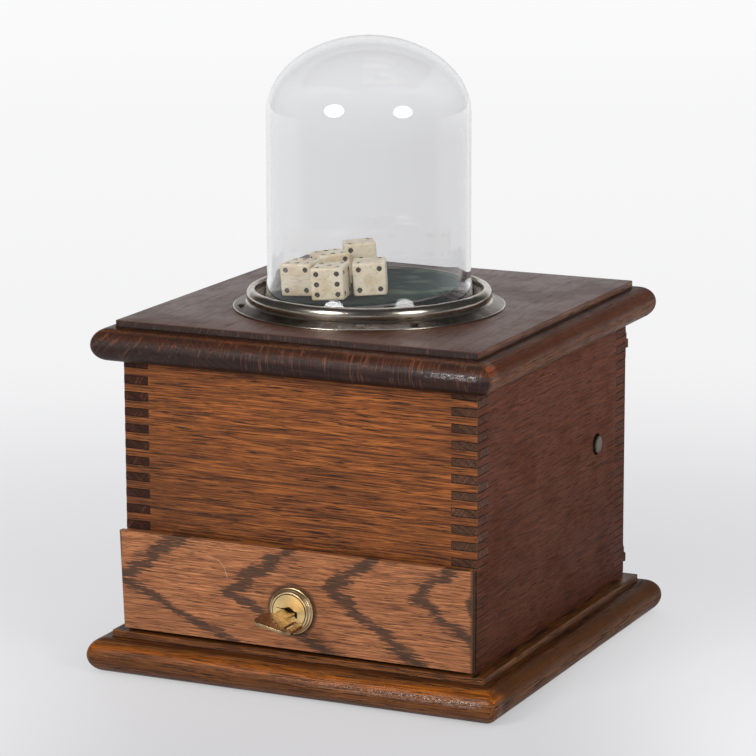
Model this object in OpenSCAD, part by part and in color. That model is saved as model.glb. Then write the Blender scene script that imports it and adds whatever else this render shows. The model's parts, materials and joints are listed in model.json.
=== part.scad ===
// Counter dice popper: a finger jointed oak case between two moulded boards, with a locked drawer
// below, a glass dome on a metal ring above, and a push rod that flicks a felted disc under five dice.
// The origin is the middle of the underside of the base board, X runs to the right, Y to the back.

/* [Case] */
// Width of the case over its sides
case_w = 203.2; // [190:0.1:230]
// Depth of the case over its front and back
case_d = 207.2; // [195:0.1:235]
// Height of the case between the two moulded boards
case_h = 147.5; // [140:0.5:170]
// Thickness of the case boards
side_t = 14.3; // [11:0.1:16]
// Height of one finger of the corner joints
finger_h = 4.37; // [4:0.01:6]
// Height of the drawer opening
opening_h = 54.3; // [52:0.1:60]
// Thickness of the board over the drawer
shelf_t = 6.35; // [5:0.05:8]
// Depth of the grooves that hold that board
shelf_groove = 4; // [2:0.5:6]

/* [Moulded boards] */
// Thickness of the top board
top_t = 21.35; // [18:0.05:24]
// How far the top board's round edge reaches past the sides of the case
top_reach = 13.2; // [12:0.1:18]
// How far the raised face of the top board reaches past the sides of the case
top_face_reach = 2; // [1:0.1:3]
// How much further that board and its face reach past the front and back
top_further = 2.4; // [0:0.1:4]
// Height of the small step round the top board's face
top_step = 3.7; // [1.5:0.05:4.5]
// Thickness of the base board
base_t = 22.2; // [20:0.1:26]
// How far the base board's round edge reaches past the case
base_reach = 18; // [16:0.1:22]
// How far the raised face of the base board reaches past the case
base_face_reach = 6.5; // [5:0.1:6.9]
// Height of the small step round the base board's face
base_step = 3.5; // [1.5:0.1:4.5]

/* [Dome] */
// Distance of the dome's axis in front of the middle of the case
dome_forward = 15.4; // [12:0.1:18]
// Outer radius of the glass dome
dome_r = 54.6; // [53:0.1:57]
// Thickness of the glass
glass_t = 2.5; // [2:0.1:3]
// Height of the dome over the top board's face
dome_h = 144.5; // [130:0.1:170]
// Height of the flattened crown of the dome
crown_h = 41.1; // [35:0.1:48]
// How far the dome's foot is spread past its wall
foot_spread = 4; // [3.8:0.1:4.4]
// How far the wall is flared just over the foot
flare_out = 2.9; // [2:0.1:3]
// Height of the flare over the washer
flare_h = 15.5; // [12:0.5:20]
// Thickness of the dome's foot
foot_t = 3; // [2.5:0.1:3.4]
// Thickness of the leather washer under the dome's foot
washer_t = 1.5; // [1:0.1:1.6]
// Radius of the hole in the top board
well_r = 49.6; // [48.5:0.1:50]

/* [Ring] */
// Outer radius of the ring's flange
flange_r = 73.1; // [71:0.1:76]
// Inner radius of the ring's rolled rim
rim_r = 61; // [60.6:0.1:62]
// Height of the ring's rolled rim
rim_h = 10.4; // [10:0.1:12]
// Radius of the roll along the rim's inner edge
roll_r = 1.8; // [1.4:0.05:2]
// How far the rim's wall bulges out past the top of the roll
wall_bulge = 3.1; // [2.6:0.1:3.4]
// Thickness of the ring's metal
ring_t = 0.9; // [0.7:0.05:1.1]

/* [Popper] */
// Radius of the popper disc's felt
disc_r = 49.3; // [44:0.1:49.6]
// Height of the middle of the felt over the top board's face, at rest
disc_h = 10.5; // [9:0.1:16]
// Tilt of the loose disc, right side up, in degrees
disc_tilt = 3.86; // [1:0.01:4.5]
// How far the disc sits off its stem, to the left
disc_shift = 1.8; // [0:0.1:1.9]
// Direction in which the disc is tilted, in degrees from the X axis
disc_turn = 25.2; // [0:0.1:90]
// Thickness of the steel disc
disc_t = 1.6; // [1:0.1:2]
// Thickness of the felt on the disc
felt_t = 1.5; // [1:0.1:2]
// Radius of the popper's stem
stem_r = 4.76; // [4.5:0.01:5]
// Travel of the popper disc
pop_travel = 12.8; // [8:0.1:13]

/* [Push rod] */
// Radius of the push rod
rod_r = 4.76; // [4.4:0.01:5]
// Radius of the hole for the rod in the right side
rod_hole_r = 6; // [5.6:0.1:6.5]
// Distance of the rod behind the middle of the case
rod_back = 61.3; // [58:0.1:66]
// Height of the rod over the base board
rod_up = 85.4; // [84:0.1:90]
// How far the rod's end stands out of the case
rod_proud = 1.4; // [1:0.1:3]
// Travel of the push rod
rod_travel = 4; // [2.5:0.1:4]

/* [Rocking shaft] */
// Distance of the shaft to the right of the popper's stem
shaft_off = 45; // [44:0.1:46]
// Height of the shaft over the push rod
shaft_up = 15; // [14:0.1:16]
// Radius of the shaft
shaft_r = 4; // [3.5:0.1:4.5]
// Thickness of the two arms
arm_t = 5; // [4:0.1:6]
// Width of the two arms
arm_w = 8; // [6:0.1:10]
// Radius of the hubs of the arms
hub_r = 8; // [7:0.1:8.5]

/* [Drawer] */
// Thickness of the applied drawer front
front_t = 3.7; // [3.5:0.1:8]
// Gap behind the applied front, as the drawer stands a little open
drawer_gap = 3.4; // [1:0.1:5]
// Height of the gap under the applied front
front_lift = 2.3; // [2:0.1:5]
// Height of the applied front
front_h = 53.6; // [50:0.1:54.5]
// How much the left end of the applied front is cut out of square
front_skew = 2; // [0:0.1:3]
// How much the applied front's lower edge rises to the left
front_rise = 0.3; // [0:0.1:2.5]
// How much wider the applied front is than the case, at each end
front_extra = 0.5; // [0:0.1:1]
// Thickness of the inner front of the drawer
inner_front_t = 9.5; // [8:0.1:10]
// Thickness of the drawer's sides and back
drawer_t = 6.35; // [5:0.05:8]
// Height of the drawer's sides
drawer_h = 47; // [40:0.5:49]
// Gap between the drawer and the back of the case, as it stands a little open
rear_gap = 16.4; // [6:0.1:40]
// Thickness of the drawer's bottom
bottom_t = 3.2; // [2.5:0.1:4]
// Gap beside each drawer side
drawer_play = 1.2; // [0.5:0.1:1.5]
// Thickness of the strips that the drawer runs on
runner_t = 2.5; // [2:0.1:2.7]

/* [Lock] */
// Height of the lock's axis over the base board
lock_up = 23.7; // [22:0.1:25]
// Radius of the lock's collar at the wood
collar_r = 12.5; // [12:0.1:13]
// How far the collar stands out of the drawer front
collar_h = 4.1; // [3:0.1:5]
// Radius of the lock's barrel
barrel_r = 10.4; // [10.2:0.1:10.8]
// Radius of the face of the plug
plug_face_r = 9.65; // [9.2:0.05:9.8]
// Radius of the body of the plug
plug_r = 7.5; // [7:0.1:8]
// Length of the locking cam from its axis
cam_len = 38.3; // [37:0.1:39]
// Width of the key's blade
key_w = 8.2; // [7:0.1:9]
// Thickness of the key
key_t = 1.7; // [1.4:0.1:2]
// Turn of the keyway from level, in degrees
key_turn = 11.5; // [0:0.5:20]
// Width of the key's bow
bow_w = 22; // [18:0.1:24]
// Length of the key's bow
bow_len = 20; // [16:0.1:22]

/* [Rear door] */
// Distance of the rear door's free edge from the left side of the case
door_left_gap = 19.1; // [18:0.1:26]
// Distance of the rear door from the two moulded boards
door_gap = 5.25; // [4.5:0.05:8]
// Thickness of the rear door
door_t = 6.35; // [5:0.05:8]
// Width of the doorway in the back
doorway_w = 140; // [120:1:150]
// Height of the doorway in the back
doorway_h = 60; // [50:1:64]
// Height of a hinge eye
eye_h = 4.6; // [4:0.1:6]
// Radius of a hinge eye
eye_r = 2.3; // [2:0.1:2.6]
// Radius of a hinge pin
hinge_pin_r = 1; // [0.8:0.05:1.2]

/* [Dice] */
// Edge of a die
die_a = 17.46; // [16:0.01:17.6]
// Radius of a pip
pip_r = 1.4; // [1:0.05:1.6]
// Depth of a pip
pip_depth = 0.7; // [0.4:0.05:1]
// Distance of a corner pip from the middle of its face
pip_off = 5.45; // [4.5:0.05:5.6]

/* [Hidden] */
$fn = 64;

oak = "sienna";
dark_oak = "saddlebrown";
plain_wood = "burlywood";
brass = "goldenrod";
steel = "slategray";
nickel = "silver";

// Small clearances
eps = 0.01;
run_gap = 0.05;
seat_gap = 0.3;
press_gap = 0.01;
cut = 1;

// Levels and planes of the case
half_w = case_w / 2;
half_d = case_d / 2;
floor_z = base_t;
case_top = base_t + case_h;
face_z = case_top + top_t;
ceiling_z = floor_z + opening_h;
shelf_top = ceiling_z + shelf_t;
in_w = half_w - side_t;
in_d = half_d - side_t;
dome_y = -dome_forward;

// Finger joints run down from the top: even fingers belong to the sides
finger_n = ceil(case_h / finger_h);

// Glass and ring
glass_in_r = dome_r - glass_t;
foot_r = dome_r + foot_spread;
foot_z = face_z + washer_t;
lip_z = foot_z + foot_t + seat_gap;
lip_r = dome_r + flare_out + seat_gap;
roll_x = rim_r + roll_r;
wall_mid = 6.2;
wall_low = -33;
flange_rise = 3.1;
flange_in_r = roll_x + wall_bulge + 0.5;
ring_screw_seat = 2.3;
ring_head_r = 2.2;
ring_head_h = 1;
ring_screw_r = 69.3;
ring_screws_at = [-144, -45, 45, 135];

// Popper
felt_z = face_z + disc_h;
tilt_u = [cos(disc_turn), sin(disc_turn), 0];
hub_h = 12;
popper_hub_r = 13;
stem_tip_z = floor_z + rod_up + shaft_up + arm_t / 2 + seat_gap;
nose_r = 2.5;
stem_collar_z = stem_tip_z + 6;
stem_collar_h = 5;
stem_collar_r = 8;
under_disc_z = felt_z - felt_t - disc_t;
bridge_t = 3;
bridge_w = 26;
bridge_len = 150;
bridge_z = case_top - bridge_t;
bush_r = 8;
bush_len = 13;
bush_z = bridge_z + bridge_t - bush_len;

// Push rod and its guides
rod_z = floor_z + rod_up;
rod_out_x = half_w + rod_proud;
shaft_x = shaft_off;
shaft_z = rod_z + shaft_up;
rod_tip_x = shaft_x + arm_t / 2 + seat_gap;
rod_nose_r = 2;
rod_nose_len = 6;
plate_t = 2;
plate_in_x = in_w - plate_t;
rod_collar_w = 4;
rod_collar_x = plate_in_x - seat_gap - rod_collar_w;
rod_collar_r = 8;
guide_x = 60;
guide_t = 3;
guide_w = 26;

// Rocking shaft
shaft_front = dome_y - 13;
shaft_back = rod_back + 13;
bearing_t = 3;
bearing_w = 22;
bearing_y = [dome_y - 10.5, rod_back + 7.5];

// Drawer
front_y = -half_d - drawer_gap - front_t;
inner_front_y = -half_d - drawer_gap;
box_y = inner_front_y + inner_front_t;
box_half = in_w - drawer_play;
drawer_len = in_d - rear_gap - box_y;
box_z = floor_z + runner_t + 0.1;
groove = 3;
bottom_z = box_z + 3.5;
groove_gap = 0.1;
front_bottom_z = floor_z + front_lift;
front_half = half_w + front_extra;
front_screw_x = 60;
front_screw_up = [12, 38];

// Lock
lock_z = floor_z + lock_up;
lock_face_y = front_y - collar_h;
cam_t = 1.6;
cam_w = 12;
cam_y = -in_d + seat_gap;
barrel_end_y = cam_y - 0.6;
plug_flange = 2.5;
keyway_depth = 18;
key_gap = 0.3;
neck_len = 9;
bow_shift = 3.5;
slot_len = 11;
slot_in = 4.6;
cam_screw_r = 2;

// Notch in the front edge of the shelf, clear of the cam all through its quarter turn
notch_left = sqrt(cam_len * cam_len - pow(ceiling_z - lock_z - cam_w / 2, 2)) + 2;
notch_right = cam_w / 2 + 3;
notch_depth = 12;

// Rear door
eye_x = half_w - 2;
eye_y = half_d + eye_r + 0.3;
door_right = half_w - 6.1;
door_left = door_left_gap - half_w;
door_y = half_d + seat_gap;
door_z = floor_z + door_gap;
door_top = case_top - door_gap;
eye_inset = 14;
eye_zs = [floor_z + 10.3, case_top - eye_inset];
doorway_z = shelf_top + 6;
catch_x = -half_w + 6.6;
catch_z = floor_z + case_h / 2;
catch_up = 7;
catch_down = 20;
catch_w = 9;
catch_t = 2.4;
knob_x = door_left + 16;

// Screws
screw_r = 1.7;
screw_head_r = 3.4;

// Countersunk screw along +Z with its head's flat at the origin
module screw(len, r = screw_r, head_r = screw_head_r) {
  head_h = head_r - r;
  difference() {
    union() {
      cylinder(r1 = head_r, r2 = r, h = head_h, $fn = 32);
      cylinder(r = r, h = len, $fn = 32);
    }
    translate([-head_r, -0.4, -cut]) cube([2 * head_r, 0.8, cut + 0.8]);
  }
}

// The hole that such a screw fills
module screw_hole(len, r = screw_r, head_r = screw_head_r) {
  head_h = head_r - r;
  cylinder(r1 = head_r + run_gap, r2 = r + run_gap, h = head_h, $fn = 32);
  translate([0, 0, -cut]) cylinder(r = head_r + run_gap, h = cut, $fn = 32);
  cylinder(r = r + run_gap, h = len + seat_gap, $fn = 32);
}

module box(x0, x1, y0, y1, z0, z1) {
  translate([x0, y0, z0]) cube([x1 - x0, y1 - y0, z1 - z0]);
}

// Bar whose two ends are half round, seen end on
module round_ended(half_len, t) {
  r = t / 2;
  square([2 * (half_len - r), t], center = true);
  for (s = [-1, 1]) translate([s * (half_len - r), 0]) circle(r = r, $fn = 48);
}

// Board with a half round edge on all four sides, mitred at its corners, and a raised face;
// it reaches further out at the front and back
module moulded_board(reach, face_reach, further, step, t, z) {
  round_t = t - step;
  translate([0, 0, z + round_t / 2]) intersection() {
    rotate([90, 0, 0]) linear_extrude(case_d + 2 * (reach + further), center = true)
      round_ended(half_w + reach, round_t);
    rotate([90, 0, 90]) linear_extrude(case_w + 2 * reach, center = true)
      round_ended(half_d + reach + further, round_t);
  }
  fw = half_w + face_reach;
  fd = half_d + face_reach + further;
  box(-fw, fw, -fd, fd, z + round_t - 1, z + t);
}

// Notches of the corner joint: parity 0 for even fingers, counted down from the case's top
module finger_notches(parity, x0, x1, y0, y1, low) {
  for (k = [parity:2:finger_n - 1]) {
    top = case_top - k * finger_h;
    bottom = max(low, top - finger_h);
    if (top > low + eps) box(x0, x1, y0, y1, bottom, top + (k == 0 ? cut : 0));
  }
}

// Places of the screws that hold the base board to the sides
base_screw_y = 70;
module at_base_screws() {
  for (x = [-1, 1], y = [-1, 1])
    translate([x * (half_w - side_t / 2), y * base_screw_y, 0.4]) children();
}

module base_board() {
  color(oak) difference() {
    moulded_board(base_reach, base_face_reach, 0, base_step, base_t, 0);
    at_base_screws() screw_hole(40);
  }
}

module base_screws() {
  color(steel) at_base_screws() screw(40);
}

module top_board() {
  color(dark_oak) difference() {
    moulded_board(top_reach, top_face_reach, top_further, top_step, top_t, case_top);
    translate([0, dome_y, case_top - cut]) cylinder(r = well_r, h = top_t + 2 * cut, $fn = 128);
    at_ring_screws(0.02) cylinder(r = 1.2 + run_gap, h = 12, $fn = 24);
    at_bridge_screws() screw_hole(14);
    at_block_screws() screw_hole(38);
  }
}

// One side of the case, its inner face towards -X before mirroring
module side_board() {
  difference() {
    box(in_w, half_w, -half_d, half_d, floor_z, case_top);
    finger_notches(1, in_w - cut, half_w + cut, -half_d - cut, -in_d, ceiling_z);
    finger_notches(1, in_w - cut, half_w + cut, in_d, half_d + cut, floor_z);
    box(in_w - cut, in_w + shelf_groove, -in_d, in_d, ceiling_z, shelf_top);
  }
}

module left_side() {
  color(dark_oak) difference() {
    mirror([1, 0, 0]) side_board();
    at_base_screws() screw_hole(40);
  }
}

module right_side() {
  color(dark_oak) difference() {
    side_board();
    at_base_screws() screw_hole(40);
    translate([in_w - cut, rod_back, rod_z]) rotate([0, 90, 0])
      cylinder(r = rod_hole_r, h = side_t + 2 * cut);
    at_plate_screws() screw_hole(10);
  }
}

module front_panel() {
  color(oak) difference() {
    box(-half_w, half_w, -half_d, -in_d, ceiling_z, case_top);
    for (s = [-1, 1]) {
      lo = s > 0 ? in_w : -half_w - cut;
      finger_notches(0, lo, lo + side_t + cut, -half_d - cut, -in_d + cut, ceiling_z - cut);
    }
  }
}

module back_panel() {
  color(dark_oak) difference() {
    box(-half_w, half_w, in_d, half_d, floor_z, case_top);
    for (s = [-1, 1]) {
      lo = s > 0 ? in_w : -half_w - cut;
      finger_notches(0, lo, lo + side_t + cut, in_d - cut, half_d + cut, floor_z - cut);
    }
    box(-doorway_w / 2, doorway_w / 2, in_d - cut, half_d + cut, doorway_z, doorway_z + doorway_h);
  }
}

module drawer_shelf() {
  edge = in_w + shelf_groove;
  color(plain_wood) difference() {
    box(-edge, edge, -in_d, in_d, ceiling_z, shelf_top);
    box(-notch_left, notch_right, -in_d - cut, -in_d + notch_depth, ceiling_z - cut, shelf_top + cut);
    at_guide_screws() screw_hole(8);
    at_bearing_screws() screw_hole(8);
  }
}

module drawer_runners() {
  color(plain_wood) for (s = [-1, 1]) {
    x0 = s > 0 ? in_w - 12 : -in_w;
    box(x0, x0 + 12, -half_d + 2, in_d - 1, floor_z, floor_z + runner_t);
  }
}

// Glue blocks in the top corners, and their screws up into the top board
block_w = 20;
block_h = 30;
module at_block_screws() {
  for (x = [-1, 1], y = [-1, 1])
    translate([x * (in_w - block_w / 2), y * (in_d - block_w / 2), case_top - block_h]) children();
}

module corner_blocks() {
  color(plain_wood) difference() {
    at_block_screws() translate([-block_w / 2, -block_w / 2, 0]) cube([block_w, block_w, block_h]);
    at_block_screws() screw_hole(38);
  }
}

module block_screws() {
  color(steel) at_block_screws() screw(38);
}

// Metal ring: sloping flange, cove, rolled rim, inner skirt and the lip that holds the glass foot
module dome_ring() {
  wall_h = rim_h - wall_mid;
  wall_foot = wall_mid + wall_h * sin(wall_low);
  wall_foot_r = roll_x + wall_bulge * cos(wall_low);
  color(nickel) difference() {
    translate([0, dome_y, face_z]) rotate_extrude($fn = 160) {
      polygon(concat(
        [[flange_r, 0], [flange_r, ring_t], [flange_in_r, flange_rise]],
        [for (i = [0:14]) let(a = wall_low + (90 - wall_low) * i / 14)
          [roll_x + wall_bulge * cos(a), wall_mid + wall_h * sin(a)]],
        [for (i = [1:6]) [roll_x + roll_r * cos(90 + 15 * i), rim_h - roll_r + roll_r * sin(90 + 15 * i)]],
        [[rim_r, lip_z - face_z], [rim_r + ring_t, lip_z - face_z], [rim_r + ring_t, rim_h - 2 * ring_t],
        [roll_x + wall_bulge - 2 * ring_t, rim_h - 2.2 * ring_t], [wall_foot_r - ring_t, wall_mid],
        [wall_foot_r - ring_t, wall_foot], [flange_in_r - 0.5, flange_rise - ring_t],
        [flange_r - 2 * ring_t, 0]]
      ));
      translate([lip_r, lip_z - face_z]) square([rim_r - lip_r + ring_t, ring_t]);
    }
    at_ring_screws(ring_screw_seat) {
      cylinder(r = 1.2 + run_gap, h = 2 * ring_screw_seat, $fn = 24);
      translate([0, 0, -cut]) cylinder(r = ring_head_r + run_gap, h = cut, $fn = 32);
    }
  }
}

module at_ring_screws(up) {
  for (a = ring_screws_at)
    translate([ring_screw_r * cos(a), dome_y + ring_screw_r * sin(a), face_z + up]) mirror([0, 0, 1])
      children();
}

// Round headed screws through the ring's flange
module ring_screws() {
  bulge_r = (ring_head_r * ring_head_r + ring_head_h * ring_head_h) / (2 * ring_head_h);
  color(nickel) at_ring_screws(ring_screw_seat) difference() {
    union() {
      cylinder(r = 1.2, h = 12.5, $fn = 24);
      intersection() {
        translate([0, 0, bulge_r - ring_head_h]) sphere(r = bulge_r, $fn = 48);
        translate([0, 0, -ring_head_h]) cylinder(r = ring_head_r, h = ring_head_h, $fn = 32);
      }
    }
    translate([-ring_head_r, -0.3, -ring_head_h - cut]) cube([2 * ring_head_r, 0.6, cut + 0.5]);
  }
}

// Points of an elliptical quarter arc, from the wall up to the axis
function crown(r, h, z, n = 24) = [for (i = [0:n]) [r * cos(90 * i / n), z + h * sin(90 * i / n)]];

// Points of the wall's flare over the foot, from below
function flare(r, n = 8) = [for (i = [0:n - 1])
  [r + flare_out * pow(1 - i / n, 1.7), foot_t + (flare_h - foot_t) * i / n]];

module glass_dome() {
  spring_z = dome_h - crown_h - washer_t;
  inner_crown = crown(glass_in_r, crown_h - glass_t, spring_z);
  inner = concat([[glass_in_r + flare_out, 0]], flare(glass_in_r), inner_crown);
  color("lightcyan", 0.35) translate([0, dome_y, foot_z]) rotate_extrude($fn = 160) {
    polygon(concat(
      [[dome_r + flare_out, 0]], flare(dome_r), crown(dome_r, crown_h, spring_z),
      [for (i = [len(inner) - 1:-1:0]) inner[i]]
    ));
    translate([glass_in_r + flare_out, 0]) square([foot_r - foot_t / 2 - glass_in_r - flare_out, foot_t]);
    translate([foot_r - foot_t / 2, foot_t / 2]) circle(r = foot_t / 2, $fn = 24);
  }
}

module dome_washer() {
  color("saddlebrown") translate([0, dome_y, face_z]) difference() {
    cylinder(r = foot_r + 0.4, h = washer_t, $fn = 128);
    translate([0, 0, -cut]) cylinder(r = glass_in_r, h = washer_t + 2 * cut, $fn = 128);
  }
}

// Steel bridge under the well that carries the stem's bush
module at_bridge_screws() {
  for (x = [-1, 1], y = [-1, 1])
    translate([x * (bridge_len / 2 - 8), dome_y + y * 7, bridge_z]) children();
}

module guide_bridge() {
  color(steel) difference() {
    box(-bridge_len / 2, bridge_len / 2, dome_y - bridge_w / 2, dome_y + bridge_w / 2, bridge_z, case_top);
    translate([0, dome_y, bridge_z - cut]) cylinder(r = bush_r - 2, h = bridge_t + 2 * cut);
    at_bridge_screws() screw_hole(14);
  }
}

module bridge_screws() {
  color(steel) at_bridge_screws() screw(14);
}

module guide_bush() {
  color(brass) translate([0, dome_y, 0]) difference() {
    union() {
      translate([0, 0, bush_z]) cylinder(r = bush_r, h = bridge_z - bush_z);
      translate([0, 0, bridge_z - cut]) cylinder(r = bush_r - 2 - press_gap, h = bridge_t + cut);
    }
    translate([0, 0, bush_z - cut]) cylinder(r = stem_r + run_gap, h = bush_len + 3 * cut);
  }
}

// Plate on the inside of the right side, the outer guide of the push rod
module at_plate_screws() {
  for (y = [-1, 1], z = [-1, 1])
    translate([plate_in_x, rod_back + y * 10, rod_z + z * 10]) rotate([0, 90, 0]) children();
}

module button_plate() {
  color(steel) difference() {
    box(plate_in_x, in_w, rod_back - 15, rod_back + 15, rod_z - 15, rod_z + 15);
    translate([plate_in_x - cut, rod_back, rod_z]) rotate([0, 90, 0])
      cylinder(r = rod_r + run_gap, h = plate_t + 2 * cut);
    at_plate_screws() screw_hole(10, 1.3, 2.6);
  }
}

module plate_screws() {
  color(steel) at_plate_screws() screw(10, 1.3, 2.6);
}

// Angle bracket on the shelf, the inner guide of the push rod
guide_foot = 16;
module at_guide_screws() {
  for (y = [-1, 1]) translate([guide_x + guide_foot / 2 + 1, rod_back + y * 8, shelf_top + guide_t])
    mirror([0, 0, 1]) children();
}

module rod_bracket() {
  color(steel) difference() {
    union() {
      box(guide_x, guide_x + guide_t, rod_back - guide_w / 2, rod_back + guide_w / 2, shelf_top, rod_z + 10);
      box(guide_x, guide_x + guide_foot, rod_back - guide_w / 2, rod_back + guide_w / 2, shelf_top,
        shelf_top + guide_t);
    }
    translate([guide_x - cut, rod_back, rod_z]) rotate([0, 90, 0])
      cylinder(r = rod_r + run_gap, h = guide_t + 2 * cut);
    at_guide_screws() screw_hole(8);
  }
}

// Two angle brackets on the shelf that carry the rocking shaft
module at_bearing_screws() {
  for (y = bearing_y, x = [-1, 1])
    translate([shaft_x + x * 6, y + bearing_t + 6, shelf_top + bearing_t]) mirror([0, 0, 1]) children();
}

module shaft_brackets() {
  color(steel) difference() {
    for (y = bearing_y) {
      x0 = shaft_x - bearing_w / 2;
      box(x0, x0 + bearing_w, y, y + bearing_t, shelf_top, shaft_z + hub_r);
      box(x0, x0 + bearing_w, y, y + 14, shelf_top, shelf_top + bearing_t);
    }
    for (y = bearing_y) translate([shaft_x, y - cut, shaft_z]) rotate([-90, 0, 0])
      cylinder(r = shaft_r + run_gap, h = bearing_t + 2 * cut);
    at_bearing_screws() screw_hole(8);
  }
}

module bracket_screws() {
  color(steel) {
    at_guide_screws() screw(8);
    at_bearing_screws() screw(8);
  }
}

// Eyes on the back of the case in which the door's hinge pins turn
module hinge_eyes() {
  color(brass) for (z = eye_zs) difference() {
    union() {
      translate([eye_x, eye_y, z - eye_h / 2]) cylinder(r = eye_r, h = eye_h, $fn = 32);
      box(eye_x - 1.6, eye_x + 1.6, half_d, eye_y, z - eye_h / 2, z + eye_h / 2);
      box(eye_x - 2.4, eye_x + 1.8, half_d, half_d + 0.8, z - 8, z + 8);
    }
    translate([eye_x, eye_y, z - eye_h]) cylinder(r = hinge_pin_r + run_gap, h = 2 * eye_h, $fn = 32);
  }
}

// Post of the turn button that keeps the rear door shut
module turn_button_post() {
  color(brass) translate([catch_x, half_d, catch_z]) rotate([-90, 0, 0]) {
    cylinder(r = 4, h = door_t + 2 * seat_gap, $fn = 32);
    cylinder(r = 1.5, h = door_t + 2 * seat_gap + catch_t + 0.4, $fn = 32);
    translate([0, 0, door_t + 2 * seat_gap + catch_t + 0.3]) cylinder(r = 3, h = 1.4, $fn = 32);
  }
}

module turn_button() {
  y0 = half_d + door_t + 2 * seat_gap + 0.1;
  color(brass) difference() {
    translate([catch_x, y0, catch_z]) rotate([-90, 0, 0]) {
      end_r = catch_w / 2;
      translate([-end_r, end_r - catch_up, 0]) cube([catch_w, catch_up + catch_down - catch_w, catch_t]);
      for (y = [end_r - catch_up, catch_down - end_r]) translate([0, y, 0])
        cylinder(r = end_r, h = catch_t, $fn = 32);
    }
    translate([catch_x, y0 - cut, catch_z]) rotate([-90, 0, 0])
      cylinder(r = 1.5 + run_gap, h = catch_t + 2 * cut, $fn = 32);
  }
}

// Push rod, its stop collar and its return spring
module push_rod() {
  color(nickel) translate([0, rod_back, rod_z]) {
    translate([rod_tip_x + rod_nose_len, 0, 0]) rotate([0, 90, 0])
      cylinder(r = rod_r, h = rod_out_x - rod_tip_x - rod_nose_len - 0.3);
    translate([rod_out_x - 1, 0, 0]) rotate([0, 90, 0]) cylinder(r = rod_r - 0.4, h = 1);
    translate([rod_tip_x + rod_nose_r, 0, 0]) rotate([0, 90, 0])
      cylinder(r = rod_nose_r, h = rod_nose_len - rod_nose_r + 0.5, $fn = 32);
    translate([rod_tip_x + rod_nose_r, 0, 0]) sphere(r = rod_nose_r, $fn = 32);
  }
}

module rod_collar() {
  color(brass) translate([rod_collar_x, rod_back, rod_z]) rotate([0, 90, 0]) difference() {
    cylinder(r = rod_collar_r, h = rod_collar_w);
    translate([0, 0, -cut]) cylinder(r = rod_r + press_gap, h = rod_collar_w + 2 * cut);
  }
}

// Helical spring along +Z as one tube: turns of wire, 8 rings a turn and 6 sides
module coil(r, wire, len, turns) {
  rings = 8 * turns;
  rise = (len - 2 * wire) / rings;
  pts = [for (i = [0:rings], j = [0:5])
    let (a = 45 * i, b = 60 * j, q = r + wire * cos(b))
    [q * cos(a), q * sin(a), wire + i * rise + wire * sin(b)]];
  sides = [for (i = [0:rings - 1], j = [0:5])
    let (k = (j + 1) % 6, p = 6 * i + j, q = 6 * i + k)
    each [[p, q, q + 6], [p, q + 6, p + 6]]];
  start = [for (j = [1:4]) [0, j + 1, j]];
  end = [for (j = [1:4]) [6 * rings, 6 * rings + j, 6 * rings + j + 1]];
  polyhedron(concat(pts), concat(sides, start, end), convexity = 10);
}

module rod_spring() {
  from_x = guide_x + guide_t + 0.2;
  color(steel) translate([from_x, rod_back, rod_z]) rotate([0, 90, 0])
    coil(rod_r + 1.3, 0.45, rod_collar_x - 0.2 - from_x, 6);
}

module stem_spring() {
  from_z = stem_collar_z + stem_collar_h + 0.2;
  color(steel) translate([0, dome_y, from_z])
    coil(stem_r + 1.4, 0.5, bush_z - 0.2 - from_z, 6);
}

module rocking_shaft() {
  color(steel) translate([shaft_x, shaft_front, shaft_z]) rotate([-90, 0, 0])
    cylinder(r = shaft_r, h = shaft_back - shaft_front);
}

// Hub of an arm about the shaft, centred at y
module arm_hub(y) {
  translate([shaft_x, y - arm_w / 2, shaft_z]) rotate([-90, 0, 0]) cylinder(r = hub_r, h = arm_w);
}

module arm_bore(y) {
  translate([shaft_x, y - arm_w, shaft_z]) rotate([-90, 0, 0])
    cylinder(r = shaft_r + press_gap, h = 2 * arm_w);
}

module set_screw_at(y) {
  translate([shaft_x, y, shaft_z + shaft_r + 0.1]) children();
}

// Arm that hangs before the nose of the push rod
module push_arm() {
  color(steel) difference() {
    union() {
      arm_hub(rod_back);
      box(shaft_x - arm_t / 2, shaft_x + arm_t / 2, rod_back - arm_w / 2, rod_back + arm_w / 2,
        rod_z - rod_nose_r - 4, shaft_z);
    }
    arm_bore(rod_back);
    set_screw_at(rod_back) cylinder(r = 1.5 + press_gap, h = hub_r, $fn = 24);
  }
}

// Arm that lies under the tip of the popper's stem
module lifter_arm() {
  color(steel) difference() {
    union() {
      arm_hub(dome_y);
      box(-nose_r - 4, shaft_x, dome_y - arm_w / 2, dome_y + arm_w / 2, shaft_z - arm_t / 2,
        shaft_z + arm_t / 2);
    }
    arm_bore(dome_y);
    set_screw_at(dome_y) cylinder(r = 1.5 + press_gap, h = hub_r, $fn = 24);
  }
}

module arm_screws() {
  color(nickel) for (y = [rod_back, dome_y]) set_screw_at(y)
    cylinder(r = 1.5, h = hub_r - shaft_r, $fn = 24);
}

// Frame of the tilted disc: its Z runs square to the disc, up from the middle of the felt's top
module on_disc() {
  translate([0, dome_y, felt_z]) rotate([0, 0, disc_turn]) rotate([0, -disc_tilt, 0])
    translate([-disc_shift, 0, 0]) children();
}

module popper_stem() {
  top = under_disc_z - 5;
  color(nickel) translate([0, dome_y, 0]) {
    translate([0, 0, stem_tip_z + nose_r + 1.5]) cylinder(r = stem_r, h = top - stem_tip_z - nose_r - 1.5);
    translate([0, 0, stem_tip_z + nose_r]) cylinder(r = nose_r, h = 2, $fn = 32);
    translate([0, 0, stem_tip_z + nose_r]) sphere(r = nose_r, $fn = 32);
  }
}

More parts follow.
